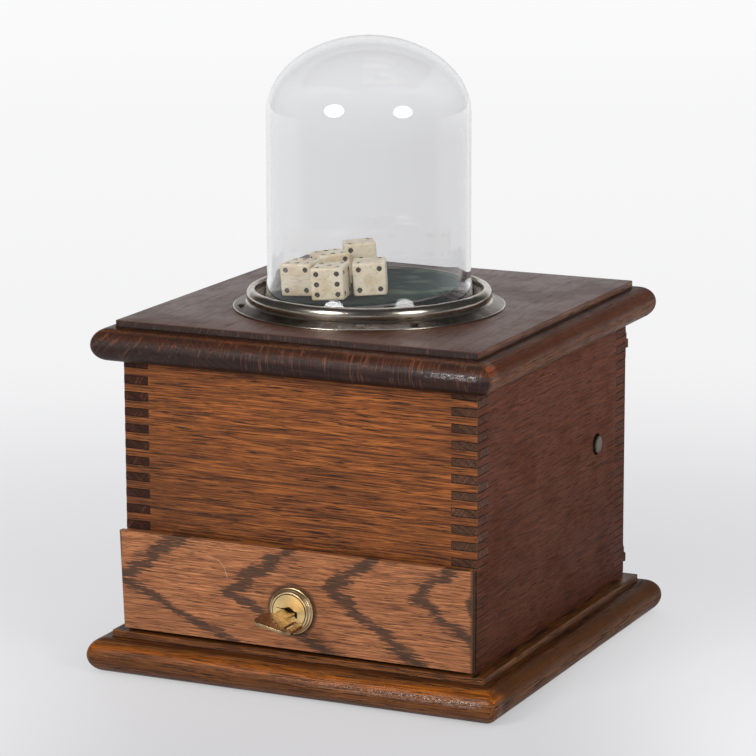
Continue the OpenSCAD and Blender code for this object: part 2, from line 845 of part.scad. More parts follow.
// Brass hub on the stem, cut to the disc's tilt
module popper_hub() {
  color(brass) difference() {
    union() {
      translate([0, dome_y, under_disc_z - hub_h]) cylinder(r = stem_r + 3, h = hub_h);
      translate([0, dome_y, under_disc_z - 4]) cylinder(r = popper_hub_r, h = 6);
    }
    on_disc() translate([0, 0, 20 - felt_t - disc_t]) cube([80, 80, 40], center = true);
    translate([0, dome_y, under_disc_z - hub_h - cut])
      cylinder(r = stem_r + press_gap, h = hub_h - 5 + cut);
  }
}

module popper_disc() {
  color(steel) on_disc() translate([0, 0, -felt_t - disc_t])
    cylinder(r = disc_r - 0.6, h = disc_t, $fn = 128);
}

module disc_felt() {
  color("seagreen") on_disc() translate([0, 0, -felt_t]) cylinder(r = disc_r, h = felt_t, $fn = 128);
}

module stem_collar() {
  color(brass) translate([0, dome_y, stem_collar_z]) difference() {
    cylinder(r = stem_collar_r, h = stem_collar_h);
    translate([0, 0, -cut]) cylinder(r = stem_r + press_gap, h = stem_collar_h + 2 * cut);
  }
}

// Pips of each face count, in half steps from the middle of the face
function pips(n) =
  n == 1 ? [[0, 0]] :
  n == 2 ? [[-1, -1], [1, 1]] :
  n == 3 ? [[-1, -1], [0, 0], [1, 1]] :
  n == 4 ? [[-1, -1], [-1, 1], [1, -1], [1, 1]] :
  n == 5 ? [[-1, -1], [-1, 1], [0, 0], [1, -1], [1, 1]] :
  [[-1, -1], [-1, 0], [-1, 1], [1, -1], [1, 0], [1, 1]];

// Pits of one face on the die's +Z side, turned by quarter turns
module pips_on_top(n, quarter) {
  rotate([0, 0, 90 * quarter]) for (p = pips(n))
    translate([p[0] * pip_off, p[1] * pip_off, die_a / 2 - pip_depth])
      cylinder(r = pip_r, h = pip_depth + cut, $fn = 24);
}

// Faces of a die: [count, quarter turns] for top, bottom, front, back, right and left
face_turns = [[0, 0, 0], [180, 0, 0], [90, 0, 0], [-90, 0, 0], [0, 90, 0], [0, -90, 0]];

// Each die: front left corner on the disc, turn in degrees, and its six faces
dice = [
  [-44.2, -15.2, 20.4, [[6, 1], [1, 0], [4, 0], [3, 0], [5, 0], [2, 0]]],
  [-28.1, -34.9, 12, [[5, 0], [2, 0], [6, 0], [1, 0], [4, 0], [3, 0]]],
  [-6.1, -30.3, 2.3, [[2, 0], [5, 0], [4, 0], [3, 0], [6, 0], [1, 0]]],
  [-10.6, 29.5, -5.2, [[2, 0], [5, 0], [3, 1], [4, 0], [6, 0], [1, 0]]],
  [-23.3, 0.2, -21.5, [[6, 1], [1, 0], [3, 0], [4, 0], [5, 0], [2, 0]]]
];
die_round_r = 0.81 * die_a;

module die(i) {
  d = dice[i];
  color("cornsilk") on_disc() translate([d[0], d[1], seat_gap]) rotate([0, 0, -d[2]])
    translate([die_a / 2, die_a / 2, die_a / 2]) difference() {
      intersection() {
        cube(die_a, center = true);
        sphere(r = die_round_r, $fn = 48);
      }
      for (f = [0:5]) rotate(face_turns[f]) pips_on_top(d[3][f][0], d[3][f][1]);
    }
}

// Applied drawer front, its left end cut a little out of square
module at_front_screws() {
  for (x = [-1, 1], up = front_screw_up)
    translate([x * front_screw_x, box_y, box_z + up]) rotate([90, 0, 0]) children();
}

module lock_bore(r) {
  translate([0, front_y - cut, lock_z]) rotate([-90, 0, 0])
    cylinder(r = r, h = front_t + inner_front_t + 2 * cut);
}

module drawer_front() {
  color(oak) difference() {
    translate([0, front_y + front_t, front_bottom_z]) rotate([90, 0, 0]) linear_extrude(front_t)
      polygon([[-front_half + front_skew, front_rise], [front_half, 0], [front_half, front_h],
        [-front_half, front_h]]);
    lock_bore(barrel_r + 0.2);
    at_front_screws() screw_hole(12);
  }
}

module drawer_inner_front() {
  color(plain_wood) difference() {
    box(-box_half, box_half, inner_front_y, box_y, box_z, box_z + drawer_h + 2);
    box(-box_half + drawer_t - groove, box_half - drawer_t + groove, box_y - groove, box_y + cut,
      bottom_z, bottom_z + bottom_t + groove_gap);
    lock_bore(barrel_r + 0.2);
    at_front_screws() screw_hole(12);
  }
}

module drawer_side(s) {
  x0 = s > 0 ? box_half - drawer_t : -box_half;
  g0 = s > 0 ? x0 - cut : x0 + drawer_t - groove;
  color(plain_wood) difference() {
    box(x0, x0 + drawer_t, box_y, box_y + drawer_len, box_z, box_z + drawer_h);
    box(g0, g0 + groove + cut, box_y - cut, box_y + drawer_len + cut,
      bottom_z, bottom_z + bottom_t + groove_gap);
  }
}

module drawer_left() drawer_side(-1);

module drawer_right() drawer_side(1);

module drawer_back() {
  inner = box_half - drawer_t;
  color(plain_wood) box(-inner, inner, box_y + drawer_len - drawer_t, box_y + drawer_len,
    bottom_z + bottom_t + groove_gap, box_z + drawer_h - 4);
}

module drawer_bottom() {
  inner = box_half - drawer_t + groove - 0.1;
  color(plain_wood) box(-inner, inner, box_y - groove + 0.1, box_y + drawer_len,
    bottom_z, bottom_z + bottom_t);
}

module front_screws() {
  color(brass) at_front_screws() screw(12);
}

// Cam lock: everything turns about the axis through the drawer front
module on_lock() {
  translate([0, lock_face_y, lock_z]) rotate([-90, 0, 0]) children();
}

module lock_housing() {
  len = barrel_end_y - lock_face_y;
  face_r = barrel_r + 0.4;
  step_r = collar_r - 0.6;
  color(brass) on_lock() difference() {
    union() {
      rotate_extrude($fn = 96) polygon([
        [0, 0], [face_r - 0.3, 0], [face_r, 0.08 * collar_h], [face_r, 0.25 * collar_h],
        [step_r - 0.3, 0.37 * collar_h], [step_r, 0.5 * collar_h], [step_r, 0.6 * collar_h],
        [collar_r, 0.64 * collar_h], [collar_r, collar_h], [0, collar_h]
      ]);
      cylinder(r = barrel_r, h = len);
    }
    translate([0, 0, -cut]) cylinder(r = plug_face_r + run_gap, h = plug_flange + cut + run_gap);
    translate([0, 0, -cut]) cylinder(r = plug_r + run_gap, h = len + 2 * cut);
  }
}

module lock_nut() {
  color(brass) translate([0, box_y, lock_z]) rotate([-90, 0, 0]) difference() {
    cylinder(r = 15, h = 3, $fn = 6);
    translate([0, 0, -cut]) cylinder(r = barrel_r + press_gap, h = 3 + 2 * cut);
  }
}

module lock_plug() {
  len = cam_y - lock_face_y;
  color(brass) on_lock() difference() {
    union() {
      cylinder(r = plug_face_r, h = plug_flange);
      cylinder(r = plug_r, h = len);
    }
    rotate([0, 0, key_turn]) translate([-key_w / 2 - key_gap, -key_t / 2 - key_gap, -cut])
      cube([key_w + 2 * key_gap, key_t + 2 * key_gap, keyway_depth + cut]);
    translate([0, 0, len - 5]) cylinder(r = cam_screw_r + press_gap, h = 5 + cut, $fn = 24);
  }
}

module lock_cam() {
  color(steel) translate([0, cam_y, lock_z]) rotate([-90, 0, 0]) difference() {
    union() {
      translate([-cam_len, -cam_w / 2, 0]) cube([cam_len, cam_w, cam_t]);
      cylinder(r = cam_w / 2, h = cam_t);
    }
    translate([0, 0, -cut]) cylinder(r = cam_screw_r + press_gap, h = cam_t + 2 * cut, $fn = 24);
  }
}

module cam_screw() {
  color(steel) translate([0, cam_y, lock_z]) rotate([-90, 0, 0]) {
    translate([0, 0, -4.5]) cylinder(r = cam_screw_r, h = 4.5 + cam_t + 0.5, $fn = 24);
    translate([0, 0, cam_t]) cylinder(r = 4, h = 1.8, $fn = 32);
  }
}

// Flat key: blade in the plug, neck and a rounded bow with a long slot
module key_outline() {
  corner = 5;
  translate([bow_shift, -neck_len - bow_len / 2]) difference() {
    union() {
      square([bow_w - 2 * corner, bow_len], center = true);
      square([bow_w, bow_len - 2 * corner], center = true);
      for (x = [-1, 1], y = [-1, 1])
        translate([x * (bow_w / 2 - corner), y * (bow_len / 2 - corner)]) circle(r = corner, $fn = 32);
    }
    translate([bow_w / 2 - slot_in, 1]) {
      square([2, slot_len], center = true);
      for (y = [-1, 1]) translate([0, y * slot_len / 2]) circle(r = 1, $fn = 24);
    }
  }
  translate([-key_w / 2, -neck_len - 1]) square([key_w, neck_len + keyway_depth]);
}

module key() {
  color(brass) on_lock() rotate([0, 0, key_turn]) translate([0, key_t / 2, 0]) rotate([90, 0, 0])
    linear_extrude(key_t) key_outline();
}

// Rear door, the pins that hang it, and its knob
module rear_door() {
  color(dark_oak) difference() {
    box(door_left, door_right, door_y, door_y + door_t, door_z, door_top);
    translate([knob_x, door_y - cut, catch_z]) rotate([-90, 0, 0])
      cylinder(r = 2.5, h = door_t + 2 * cut, $fn = 32);
  }
}

module hinge_pintles() {
  color(brass) for (z = eye_zs) translate([0, 0, z]) {
    box(door_right, door_right + 0.9, door_y, door_y + door_t, -9, 9);
    translate([eye_x, eye_y, -eye_h / 2 - 1.5]) cylinder(r = hinge_pin_r, h = eye_h + 5, $fn = 32);
    translate([eye_x, eye_y, eye_h / 2 + seat_gap]) cylinder(r = 1.4, h = 3.2, $fn = 32);
    box(door_right, eye_x, eye_y - 1.2, eye_y + 1.2, eye_h / 2 + seat_gap, eye_h / 2 + seat_gap + 3.2);
  }
}

module door_knob() {
  color(brass) translate([knob_x, door_y + 0.5, catch_z]) rotate([-90, 0, 0]) {
    cylinder(r = 2.5 - press_gap, h = door_t + 2, $fn = 32);
    translate([0, 0, door_t - 0.5]) cylinder(r = 5, h = 1.2, $fn = 32);
    translate([0, 0, door_t + 5]) sphere(r = 5, $fn = 32);
  }
}

base_board();
top_board();
left_side();
right_side();
front_panel();
back_panel();
drawer_shelf();
drawer_runners();
corner_blocks();
block_screws();
base_screws();
dome_ring();
ring_screws();
glass_dome();
dome_washer();
guide_bridge();
guide_bush();
bridge_screws();
button_plate();
rod_bracket();
plate_screws();
shaft_brackets();
bracket_screws();
hinge_eyes();
turn_button_post();
push_rod();
rod_collar();
rod_spring();
rocking_shaft();
push_arm();
lifter_arm();
arm_screws();
popper_stem();
popper_hub();
popper_disc();
disc_felt();
stem_collar();
stem_spring();
die(0);  // die_1
die(1);  // die_2
die(2);  // die_3
die(3);  // die_4
die(4);  // die_5
drawer_front();
drawer_inner_front();
drawer_left();
drawer_right();
drawer_back();
drawer_bottom();
front_screws();
lock_housing();
lock_nut();
lock_plug();
lock_cam();
cam_screw();
key();
rear_door();
hinge_pintles();
door_knob();
turn_button();
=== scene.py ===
"""Dress the dice popper: worn oak, brass, nickel, glass, felt and bone round the CAD frame.

Every length is in metres, in the row frame: the origin is the middle of the underside of the base
board, X runs to the right and Y to the back. Places come from the frame's own boxes where they can.
"""

import json
import logging
import math
from collections.abc import Callable
from dataclasses import dataclass, field, replace
from enum import Enum

import bmesh
import bpy
import numpy as np
from mathutils import Matrix, Vector

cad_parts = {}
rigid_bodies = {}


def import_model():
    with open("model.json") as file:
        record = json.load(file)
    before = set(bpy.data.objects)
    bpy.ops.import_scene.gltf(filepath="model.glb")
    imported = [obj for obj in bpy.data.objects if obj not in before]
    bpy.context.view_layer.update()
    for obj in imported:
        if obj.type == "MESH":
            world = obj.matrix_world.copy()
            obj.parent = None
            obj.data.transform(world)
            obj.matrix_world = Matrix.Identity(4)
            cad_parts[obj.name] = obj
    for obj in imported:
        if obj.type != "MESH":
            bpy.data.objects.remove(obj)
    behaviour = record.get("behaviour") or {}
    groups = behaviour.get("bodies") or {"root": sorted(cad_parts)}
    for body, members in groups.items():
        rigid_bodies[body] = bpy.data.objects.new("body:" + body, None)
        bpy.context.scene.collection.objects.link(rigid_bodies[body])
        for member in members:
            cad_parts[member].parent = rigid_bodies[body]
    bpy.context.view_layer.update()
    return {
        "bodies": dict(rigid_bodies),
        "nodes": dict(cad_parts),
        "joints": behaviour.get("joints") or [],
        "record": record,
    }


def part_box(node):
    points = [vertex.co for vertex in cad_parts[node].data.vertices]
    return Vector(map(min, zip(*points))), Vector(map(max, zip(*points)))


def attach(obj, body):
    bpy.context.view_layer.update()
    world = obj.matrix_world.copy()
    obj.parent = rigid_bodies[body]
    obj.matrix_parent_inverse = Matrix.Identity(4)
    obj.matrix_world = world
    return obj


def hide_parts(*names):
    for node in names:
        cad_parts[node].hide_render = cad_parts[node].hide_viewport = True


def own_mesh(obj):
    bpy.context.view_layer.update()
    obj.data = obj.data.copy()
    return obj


log = logging.getLogger("dice_popper")

MM = 0.001
IMAGE_PIXELS = 756
Colour = tuple[float, float, float]
Socket = bpy.types.NodeSocket
Material = bpy.types.Material


# Camera and light


@dataclass(frozen=True)
class CameraPose:
    """A camera placed by its point, its turn about Z, its downward tilt and its roll."""

    place: Vector
    yaw: float
    pitch: float
    roll: float
    focal_pixels: float
    sensor_mm: float = 36.0


CAMERA = CameraPose(
    place=Vector((0.77330, -1.65548, 0.54254)),
    yaw=math.radians(25.10),
    pitch=math.radians(12.191),
    roll=math.radians(-0.189),
    focal_pixels=3444.5,
)


@dataclass(frozen=True)
class SoftBox:
    """A round area light that looks at the object."""

    name: str
    place: Vector
    power: float


SOFT_BOXES = (
    SoftBox("light_front", Vector((-0.46, -1.72, 0.92)), 14.0),
    SoftBox("light_right", Vector((1.62, -0.77, 0.85)), 9.0),
)
LIGHT_WIDTH = 0.72
LIGHT_TARGET = Vector((0, 0, 0.15))
BACKDROP_WAY = Vector((-0.426, 0.905, 0.0))
ASIDE_WAY = Vector((0.905, 0.426, 0.0))


# Sizes that the looks share with the solids


@dataclass(frozen=True)
class Moulding:
    """One moulded board.

    Attributes:
        node: The board's CAD node.
        reach: How far its round reaches past the case.
        face_reach: How far its raised face reaches past the case.
        further: How much further it reaches at the front and the back.
        round_height: Height of its round.
        step: Height of its raised face over the round.
        lit_band: What the colour is multiplied by along the round's upper part, as painted light.
        rim: What the colour is multiplied by along the dark line over the round, painted shade in the crease
            under the raised face.
        amber: Colour of the polish at the sides.
        side: X from which the board counts as its side.
    """

    node: str
    reach: float
    face_reach: float
    further: float
    round_height: float
    step: float
    lit_band: Colour
    rim: Colour
    amber: Colour
    side: float


TOP_MOULDING = Moulding(
    node="top_board", reach=13.2 * MM, face_reach=2.0 * MM, further=2.4 * MM, round_height=17.65 * MM,
    step=3.7 * MM, lit_band=(1.50, 1.00, 0.60), rim=(0.30, 0.26, 0.24), amber=(0.078, 0.019, 0.004),
    side=105.5 * MM,
)
BASE_MOULDING = Moulding(
    node="base_board", reach=18.0 * MM, face_reach=6.5 * MM, further=0.0, round_height=18.7 * MM,
    step=3.5 * MM, lit_band=(1.50, 1.18, 0.35), rim=(0.62, 0.55, 0.50), amber=(0.082, 0.028, 0.006),
    side=109.5 * MM,
)
FACE_HEIGHT = 191.05 * MM
CASE_TOP = 169.7 * MM
BASE_FACE = 22.2 * MM
SIDE_FACE = 101.6 * MM
SIDES_FROM = (-111.5 * MM, -104.5 * MM)
ROUND_FRONT = (-104.0 * MM, -106.0 * MM)
BASE_FRONT = (-110.5 * MM, -112.5 * MM)
RISER_FRONT = (-106.0 * MM, -108.5 * MM)
RISER_UP = (18.9 * MM, 19.4 * MM)
TOP_LAMP = (64 * MM, 90 * MM)
BASE_LAMP = (-70 * MM, 90 * MM)
IN_HALF = (87.3 * MM, 89.3 * MM)
LOCK_HEIGHT = 45.9 * MM
PLUG_RADIUS = 9.65 * MM
KEYWAY = ((-7.0, 1.9), (-2.6, 1.2), (-1.9, 1.5), (0.0, 2.0), (2.2, 0.6), (3.9, 0.0), (4.2, -2.2))
KEYWAY_HALVES = (0.24, 0.4, 0.75, 0.75, 0.4, 0.7)
FINGER = 4.37 * MM
CRACKS = (
    (Vector((0.0440, 0.0464, 0)), Vector((0.0575, 0.0523, 0))),
    (Vector((0.0423, 0.0811, 0)), Vector((0.0499, 0.0845, 0))),
)
DOME_FORWARD = 15.4 * MM
# Heights over which the glass is painted paler, as painted light over the crown.
CROWN_LIGHT = (278 * MM, 312 * MM)
ACROSS_GLASS = 56 * MM


@dataclass(frozen=True)
class Die:
    """A die on the disc: its front left corner, its turn, and [count, quarter turns] of six faces."""

    node: str
    corner: tuple[float, float]
    turn: float
    faces: tuple[tuple[int, int], ...]


DIE_EDGE = 17.46 * MM
DIE_WEAR = 1.1 * MM
CORNER_REACH = 1.62
PIP_RADIUS = 1.4 * MM
PIP_DEPTH = 0.65 * MM
PIP_SPREAD = 5.45 * MM
DICE = (
    Die("die_1", (-44.2 * MM, -15.2 * MM), 20.4, ((6, 1), (1, 0), (4, 0), (3, 0), (5, 0), (2, 0))),
    Die("die_2", (-28.1 * MM, -34.9 * MM), 12.0, ((5, 0), (2, 0), (6, 0), (1, 0), (4, 0), (3, 0))),
    Die("die_3", (-6.1 * MM, -30.3 * MM), 2.3, ((2, 0), (5, 0), (4, 0), (3, 0), (6, 0), (1, 0))),
    Die("die_4", (-10.6 * MM, 29.5 * MM), -5.2, ((2, 0), (5, 0), (3, 1), (4, 0), (6, 0), (1, 0))),
    Die("die_5", (-23.3 * MM, 0.2 * MM), -21.5, ((6, 1), (1, 0), (3, 0), (4, 0), (5, 0), (2, 0))),
)


class Axis(Enum):
    """Direction in which the grain of a board runs."""

    X = (0, 1, 2)
    Y = (1, 0, 2)
    Z = (2, 0, 1)


# Node trees


class Graph:
    """A short way to fill a node tree."""

    def __init__(self, tree: bpy.types.NodeTree) -> None:
        """Keep the tree that is to be filled."""
        self.tree = tree

    def feed(self, socket: Socket, value: object) -> None:
        """Link a socket to the input, or set the input to a constant.

        Args:
            socket: The input socket.
            value: An output socket, a constant, or None to leave the input alone.
        """
        if isinstance(value, Socket):
            self.tree.links.new(value, socket)
        elif value is not None:
            socket.default_value = value

    def node(self, kind: str, settings: dict | None = None, **inputs: object) -> bpy.types.Node:
        """Add a node.

        Args:
            kind: The node's type without its ShaderNode prefix.
            settings: Attributes to set before the inputs.
            inputs: Values by input name, with _ for a space.

        Returns:
            The new node.
        """
        node = self.tree.nodes.new("ShaderNode" + kind)
        for key, value in (settings or {}).items():
            setattr(node, key, value)
        self.fill(node, **inputs)
        return node

    def fill(self, node: bpy.types.Node, **inputs: object) -> None:
        """Feed a node's inputs by name, with _ for a space."""
        for name, value in inputs.items():
            self.feed(node.inputs[name.replace("_", " ")], value)

    def math(self, operation: str, *values: object, clamp: bool = False) -> Socket:
        """Add a Math node.

        Args:
            operation: What the node does.
            values: Its inputs in order.
            clamp: Whether to keep it in 0 to 1.

        Returns:
            The node's output.
        """
        node = self.node("Math", {"operation": operation, "use_clamp": clamp})
        for socket, value in zip(node.inputs, values):
            self.feed(socket, value)
        return node.outputs[0]

    def mul(self, first: object, second: object, clamp: bool = False) -> Socket:
        """Return a product."""
        return self.math("MULTIPLY", first, second, clamp=clamp)

    def add(self, first: object, second: object, clamp: bool = False) -> Socket:
        """Return a sum."""
        return self.math("ADD", first, second, clamp=clamp)

    def sub(self, first: object, second: object) -> Socket:
        """Return a difference."""
        return self.math("SUBTRACT", first, second)

    def div(self, first: object, second: object, clamp: bool = False) -> Socket:
        """Return a quotient."""
        return self.math("DIVIDE", first, second, clamp=clamp)

    def most(self, first: object, second: object) -> Socket:
        """Return the larger of two values."""
        return self.math("MAXIMUM", first, second)

    def plain(self, value: object) -> Socket:
        """Return a value without its sign."""
        return self.math("ABSOLUTE", value)

    def stretch(self, first: object, second: object) -> Socket:
        """Return a vector times another, part by part."""
        return self.vector("MULTIPLY", first, second)

    def length(self, vector: object) -> Socket:
        """Return a vector's length."""
        return self.vector("LENGTH", vector)

    def vector(self, operation: str, *values: object) -> Socket:
        """Add a Vector Math node.

        Args:
            operation: What the node does.
            values: Its inputs in order.

        Returns:
            The node's vector, or its value for a length, a dot or a distance.
        """
        node = self.node("VectorMath", {"operation": operation})
        for socket, value in zip(node.inputs, values):
            self.feed(socket, value)
        return node.outputs["Value" if operation in ("LENGTH", "DOT_PRODUCT", "DISTANCE") else "Vector"]

    def choose(self, share: object, first: object, second: object) -> Socket:
        """Mix two vectors.

        Args:
            share: The share from 0 to 1.
            first: The vector at 0.
            second: The vector at 1.

        Returns:
            The mixed vector.
        """
        node = self.node("Mix", {"data_type": "VECTOR", "clamp_factor": True})
        for index, value in ((0, share), (4, first), (5, second)):
            self.feed(node.inputs[index], value)
        return node.outputs[1]

    def split(self, vector: Socket) -> list[Socket]:
        """Return the three parts of a vector."""
        return list(self.node("SeparateXYZ", Vector=vector).outputs)

    def join(self, x: object, y: object, z: object) -> Socket:
        """Return a vector made of three values."""
        return self.node("CombineXYZ", X=x, Y=y, Z=z).outputs[0]

    def noise(
        self, vector: object, scale: float, detail: float = 2.0, roughness: float = 0.55, warp: float = 0.0
    ) -> Socket:
        """Add a noise.

        Args:
            vector: Where the noise is read.
            scale: How fine it is.
            detail: How many finer layers it has.
            roughness: How strong the finer layers are.
            warp: How far it is bent.

        Returns:
            Noise from 0 to 1, with features of about 1/scale metres.
        """
        node = self.node(
            "TexNoise", Vector=vector, Scale=scale, Detail=detail, Roughness=roughness, Distortion=warp
        )
        return node.outputs[0]

    def streaks(
        self, vector: object, scales: tuple, detail: float = 2.0, roughness: float = 0.55
    ) -> Socket:
        """Return noise from 0 to 1, with features of about 1/scale metres along each axis."""
        return self.noise(self.stretch(vector, scales), 1.0, detail, roughness)

    def step(self, value: object, low: float, high: float) -> Socket:
        """Add a smooth step.

        Args:
            value: The value.
            low: Where the step is 0.
            high: Where it is 1, above or below low.

        Returns:
            The step.
        """
        node = self.node("MapRange", {"interpolation_type": "SMOOTHSTEP"})
        names = ("Value", "From Min", "From Max", "To Min", "To Max")
        numbers = (value, low, high, 0.0, 1.0) if low < high else (value, high, low, 1.0, 0.0)
        for name, number in zip(names, numbers):
            self.feed(node.inputs[name], number)
        return node.outputs["Result"]

    def scale(self, value: object, low: float, high: float) -> Socket:
        """Return a value from 0 to 1 as one from low to high."""
        return self.math("MULTIPLY_ADD", value, high - low, low)

    def mix(self, share: object, first: object, second: object, how: str = "MIX") -> Socket:
        """Mix two colours.

        Args:
            share: The share from 0 to 1.
            first: The colour at 0.
            second: The colour at 1.
            how: How the second is laid over the first.

        Returns:
            The mixed colour.
        """
        node = self.node("Mix", {"data_type": "RGBA", "blend_type": how, "clamp_factor": True})
        colours = [(*c, 1.0) if isinstance(c, tuple) else c for c in (first, second)]
        self.feed(node.inputs[0], share)
        self.feed(node.inputs[6], colours[0])
        self.feed(node.inputs[7], colours[1])
        return node.outputs[2]

    def use(self, group: bpy.types.NodeTree, **inputs: object) -> dict[str, Socket]:
        """Add a node group and return its outputs by name."""
        node = self.node("Group", {"node_tree": group}, **inputs)
        return {socket.name: socket for socket in node.outputs}

    def bump(self, height: object, strength: float, distance: float) -> Socket:
        """Return a normal bent by a height."""
        return self.node("Bump", Height=height, Strength=strength, Distance=distance).outputs[0]

    def blend(self, share: object, first: bpy.types.Node, second: bpy.types.Node) -> None:
        """Make the material a blend of two shaders.

        Args:
            share: The share from 0 to 1.
            first: The shader at 0.
            second: The shader at 1.
        """
        both = self.node("MixShader", Fac=share)
        self.feed(both.inputs[1], first.outputs[0])
        self.feed(both.inputs[2], second.outputs[0])
        self.feed(self.tree.nodes["Material Output"].inputs["Surface"], both.outputs[0])


class Group:
    """A shared effect as a node group, filled through its graph; its outputs are numbers."""

    def __init__(self, name: str, inputs: dict[str, str], outputs: tuple[str, ...]) -> None:
        """Make an empty group.

        Args:
            name: The group's name.
            inputs: Kinds of socket by input name.
            outputs: Names of the outputs.
        """
        self.tree = bpy.data.node_groups.new(name, "ShaderNodeTree")
        for title, kind in inputs.items():
            self.tree.interface.new_socket(title, in_out="INPUT", socket_type="NodeSocket" + kind)
        for title in outputs:
            self.tree.interface.new_socket(title, in_out="OUTPUT", socket_type="NodeSocketFloat")
        self.graph = Graph(self.tree)
        self.inputs = self.tree.nodes.new("NodeGroupInput").outputs
        self.outputs = self.tree.nodes.new("NodeGroupOutput").inputs

    def give(self, **outputs: object) -> bpy.types.NodeTree:
        """Feed the outputs and end the group.

        Args:
            outputs: Values by output name.

        Returns:
            The group's tree.
        """
        for name, value in outputs.items():
            self.graph.feed(self.outputs[name], value)
        return self.tree


def make_grain_group() -> bpy.types.NodeTree:
    """Oak: growth bands, streaks, open pores and ray flecks, for a vector whose X runs along the grain.

    Returns:
        The finished group.
    """
    group = Group("oak_grain", {"Vector": "Vector"}, ("Tone", "Pores", "Flecks", "Height"))
    g = group.graph
    vector = group.inputs["Vector"]
    wave = g.streaks(vector, (5.0, 26.0, 26.0))
    shift = g.mul(g.sub(wave, 0.5), 7 * MM)
    bent = g.vector("ADD", vector, g.join(0.0, shift, shift))
    bands = g.streaks(bent, (6.0, 190.0, 190.0), 3.0, 0.65)
    streaks = g.streaks(bent, (18.0, 680.0, 680.0), 2.0, 0.6)
    fibre = g.streaks(bent, (45.0, 1500.0, 1500.0), 3.0, 0.65)
    dashes = g.streaks(bent, (34.0, 1250.0, 1250.0), 2.0, 0.6)
    limit = g.scale(g.step(bands, 0.40, 0.62), 0.62, 0.51)
    pores = g.step(g.sub(dashes, limit), 0.0, 0.06)
    rays = g.streaks(bent, (160.0, 420.0, 420.0), 1.5, 0.5)
    tone = g.add(g.mul(bands, 0.30), g.mul(streaks, 0.42))
    tone = g.add(tone, g.mul(fibre, 0.28))
    height = g.sub(g.mul(fibre, 0.5), pores)
    return group.give(Tone=tone, Pores=pores, Flecks=g.step(rays, 0.62, 0.70), Height=height)


def make_end_group() -> bpy.types.NodeTree:
    """End grain: dark dots of the vessels, growth rings and pale, leaning rays, for U across and V up.

    Returns:
        The finished group.
    """
    inputs = {"U": "Float", "V": "Float", "Lean": "Float"}
    group = Group("oak_end_grain", inputs, ("Dots", "Rings", "Rays"))
    g = group.graph
    u = g.sub(group.inputs["U"], g.mul(group.inputs["Lean"], group.inputs["V"]))
    v = g.add(group.inputs["V"], g.mul(group.inputs["Lean"], group.inputs["U"]))
    lines = g.noise(g.join(g.mul(u, 210.0), g.mul(v, 10.0), 0.0), 1.0, 3.0, 0.6)
    ridge = g.plain(g.sub(lines, 0.5))
    broken = g.noise(g.join(g.mul(u, 90.0), g.mul(v, 130.0), 3.0), 1.0, 2.0)
    rays = g.mul(g.step(ridge, 0.020, 0.005), g.step(broken, 0.40, 0.56))
    rings = g.noise(g.join(g.mul(u, 30.0), g.mul(v, 420.0), 0.0), 1.0, 2.0)
    dots = g.noise(g.join(g.mul(u, 1900.0), g.mul(v, 1100.0), 0.0), 1.0, 2.0, 0.65)
    return group.give(Dots=g.step(dots, 0.46, 0.62), Rings=rings, Rays=rays)


def make_edge_group() -> bpy.types.NodeTree:
    """A mask that is 1 on the edges of a box and 0 a width away from them.

    Returns:
        The finished group.
    """
    inputs = {"Vector": "Vector", "Centre": "Vector", "Half": "Vector", "Width": "Float"}
    group = Group("box_edges", inputs, ("Mask",))
    g = group.graph
    offset = g.vector("ABSOLUTE", g.vector("SUBTRACT", group.inputs["Vector"], group.inputs["Centre"]))
    x, y, z = g.split(g.vector("SUBTRACT", offset, group.inputs["Half"]))
    largest = g.most(g.most(x, y), z)
    smallest = g.math("MINIMUM", g.math("MINIMUM", x, y), z)
    total = g.add(g.add(x, y), z)
    middle = g.sub(g.sub(total, largest), smallest)
    rough = g.noise(group.inputs["Vector"], 260.0, 3.0, 0.65)
    width = g.mul(group.inputs["Width"], g.scale(rough, 0.0, 2.0))
    near = g.add(g.div(middle, width), 1.0, clamp=True)
    return group.give(Mask=g.math("POWER", near, 1.6))


def make_smudge_group() -> bpy.types.NodeTree:
    """Patches of old handling: a soft mask, a speckle mask and fine scratches.

    Returns:
        The finished group.
    """
    inputs = {"Vector": "Vector", "Patch Scale": "Float"}
    group = Group("handling", inputs, ("Patches", "Specks", "Scratches"))
    g = group.graph
    vector = group.inputs["Vector"]
    node = g.node("TexNoise", Vector=vector, Scale=group.inputs["Patch Scale"], Detail=5.0, Roughness=0.62)
    patches = g.step(node.outputs[0], 0.40, 0.66)
    specks = g.step(g.noise(vector, 1700.0, 2.0, 0.6), 0.66, 0.74)
    turned = g.node("Mapping", Vector=vector, Rotation=(0.5, 0.35, 0.8), Scale=(70.0, 2600.0, 2600.0))
    scratches = g.step(g.noise(turned.outputs[0], 1.0, 1.0), 0.70, 0.76)
    return group.give(Patches=patches, Specks=specks, Scratches=scratches)


# Finishes


@dataclass
class Surface:
    """The values on their way to a shader, each a socket or a constant; a piece's details change them."""

    colour: object
    height: object
    roughness: object
    shine: object = 0.5
    coat: object = 0.0
    coat_index: object = 1.5


@dataclass(frozen=True)
class OakFinish:
    """Colours and gloss of one oak board, with painted shade towards its foot."""

    pale: Colour
    mid: Colour
    dark: Colour
    end: Colour
    end_pale: Colour
    worn: Colour
    pore: Colour = (0.020, 0.010, 0.006)
    ray: Colour = (0.26, 0.105, 0.045)
    rays: float = 0.6
    lean: float = 0.7
    fan: float = 0.0
    roughness: float = 0.42
    shine: float = 0.3
    coat: float = 0.0
    edge_width: float = 2.0 * MM
    wear: float = 0.5
    flecks: float = 0.2
    chips: float = 0.0
    fine: float = 1.0
    pores: float = 0.8
    foot_shade: float = 1.0
    left_shade: float = 1.0
    end_shine: float = 1.0


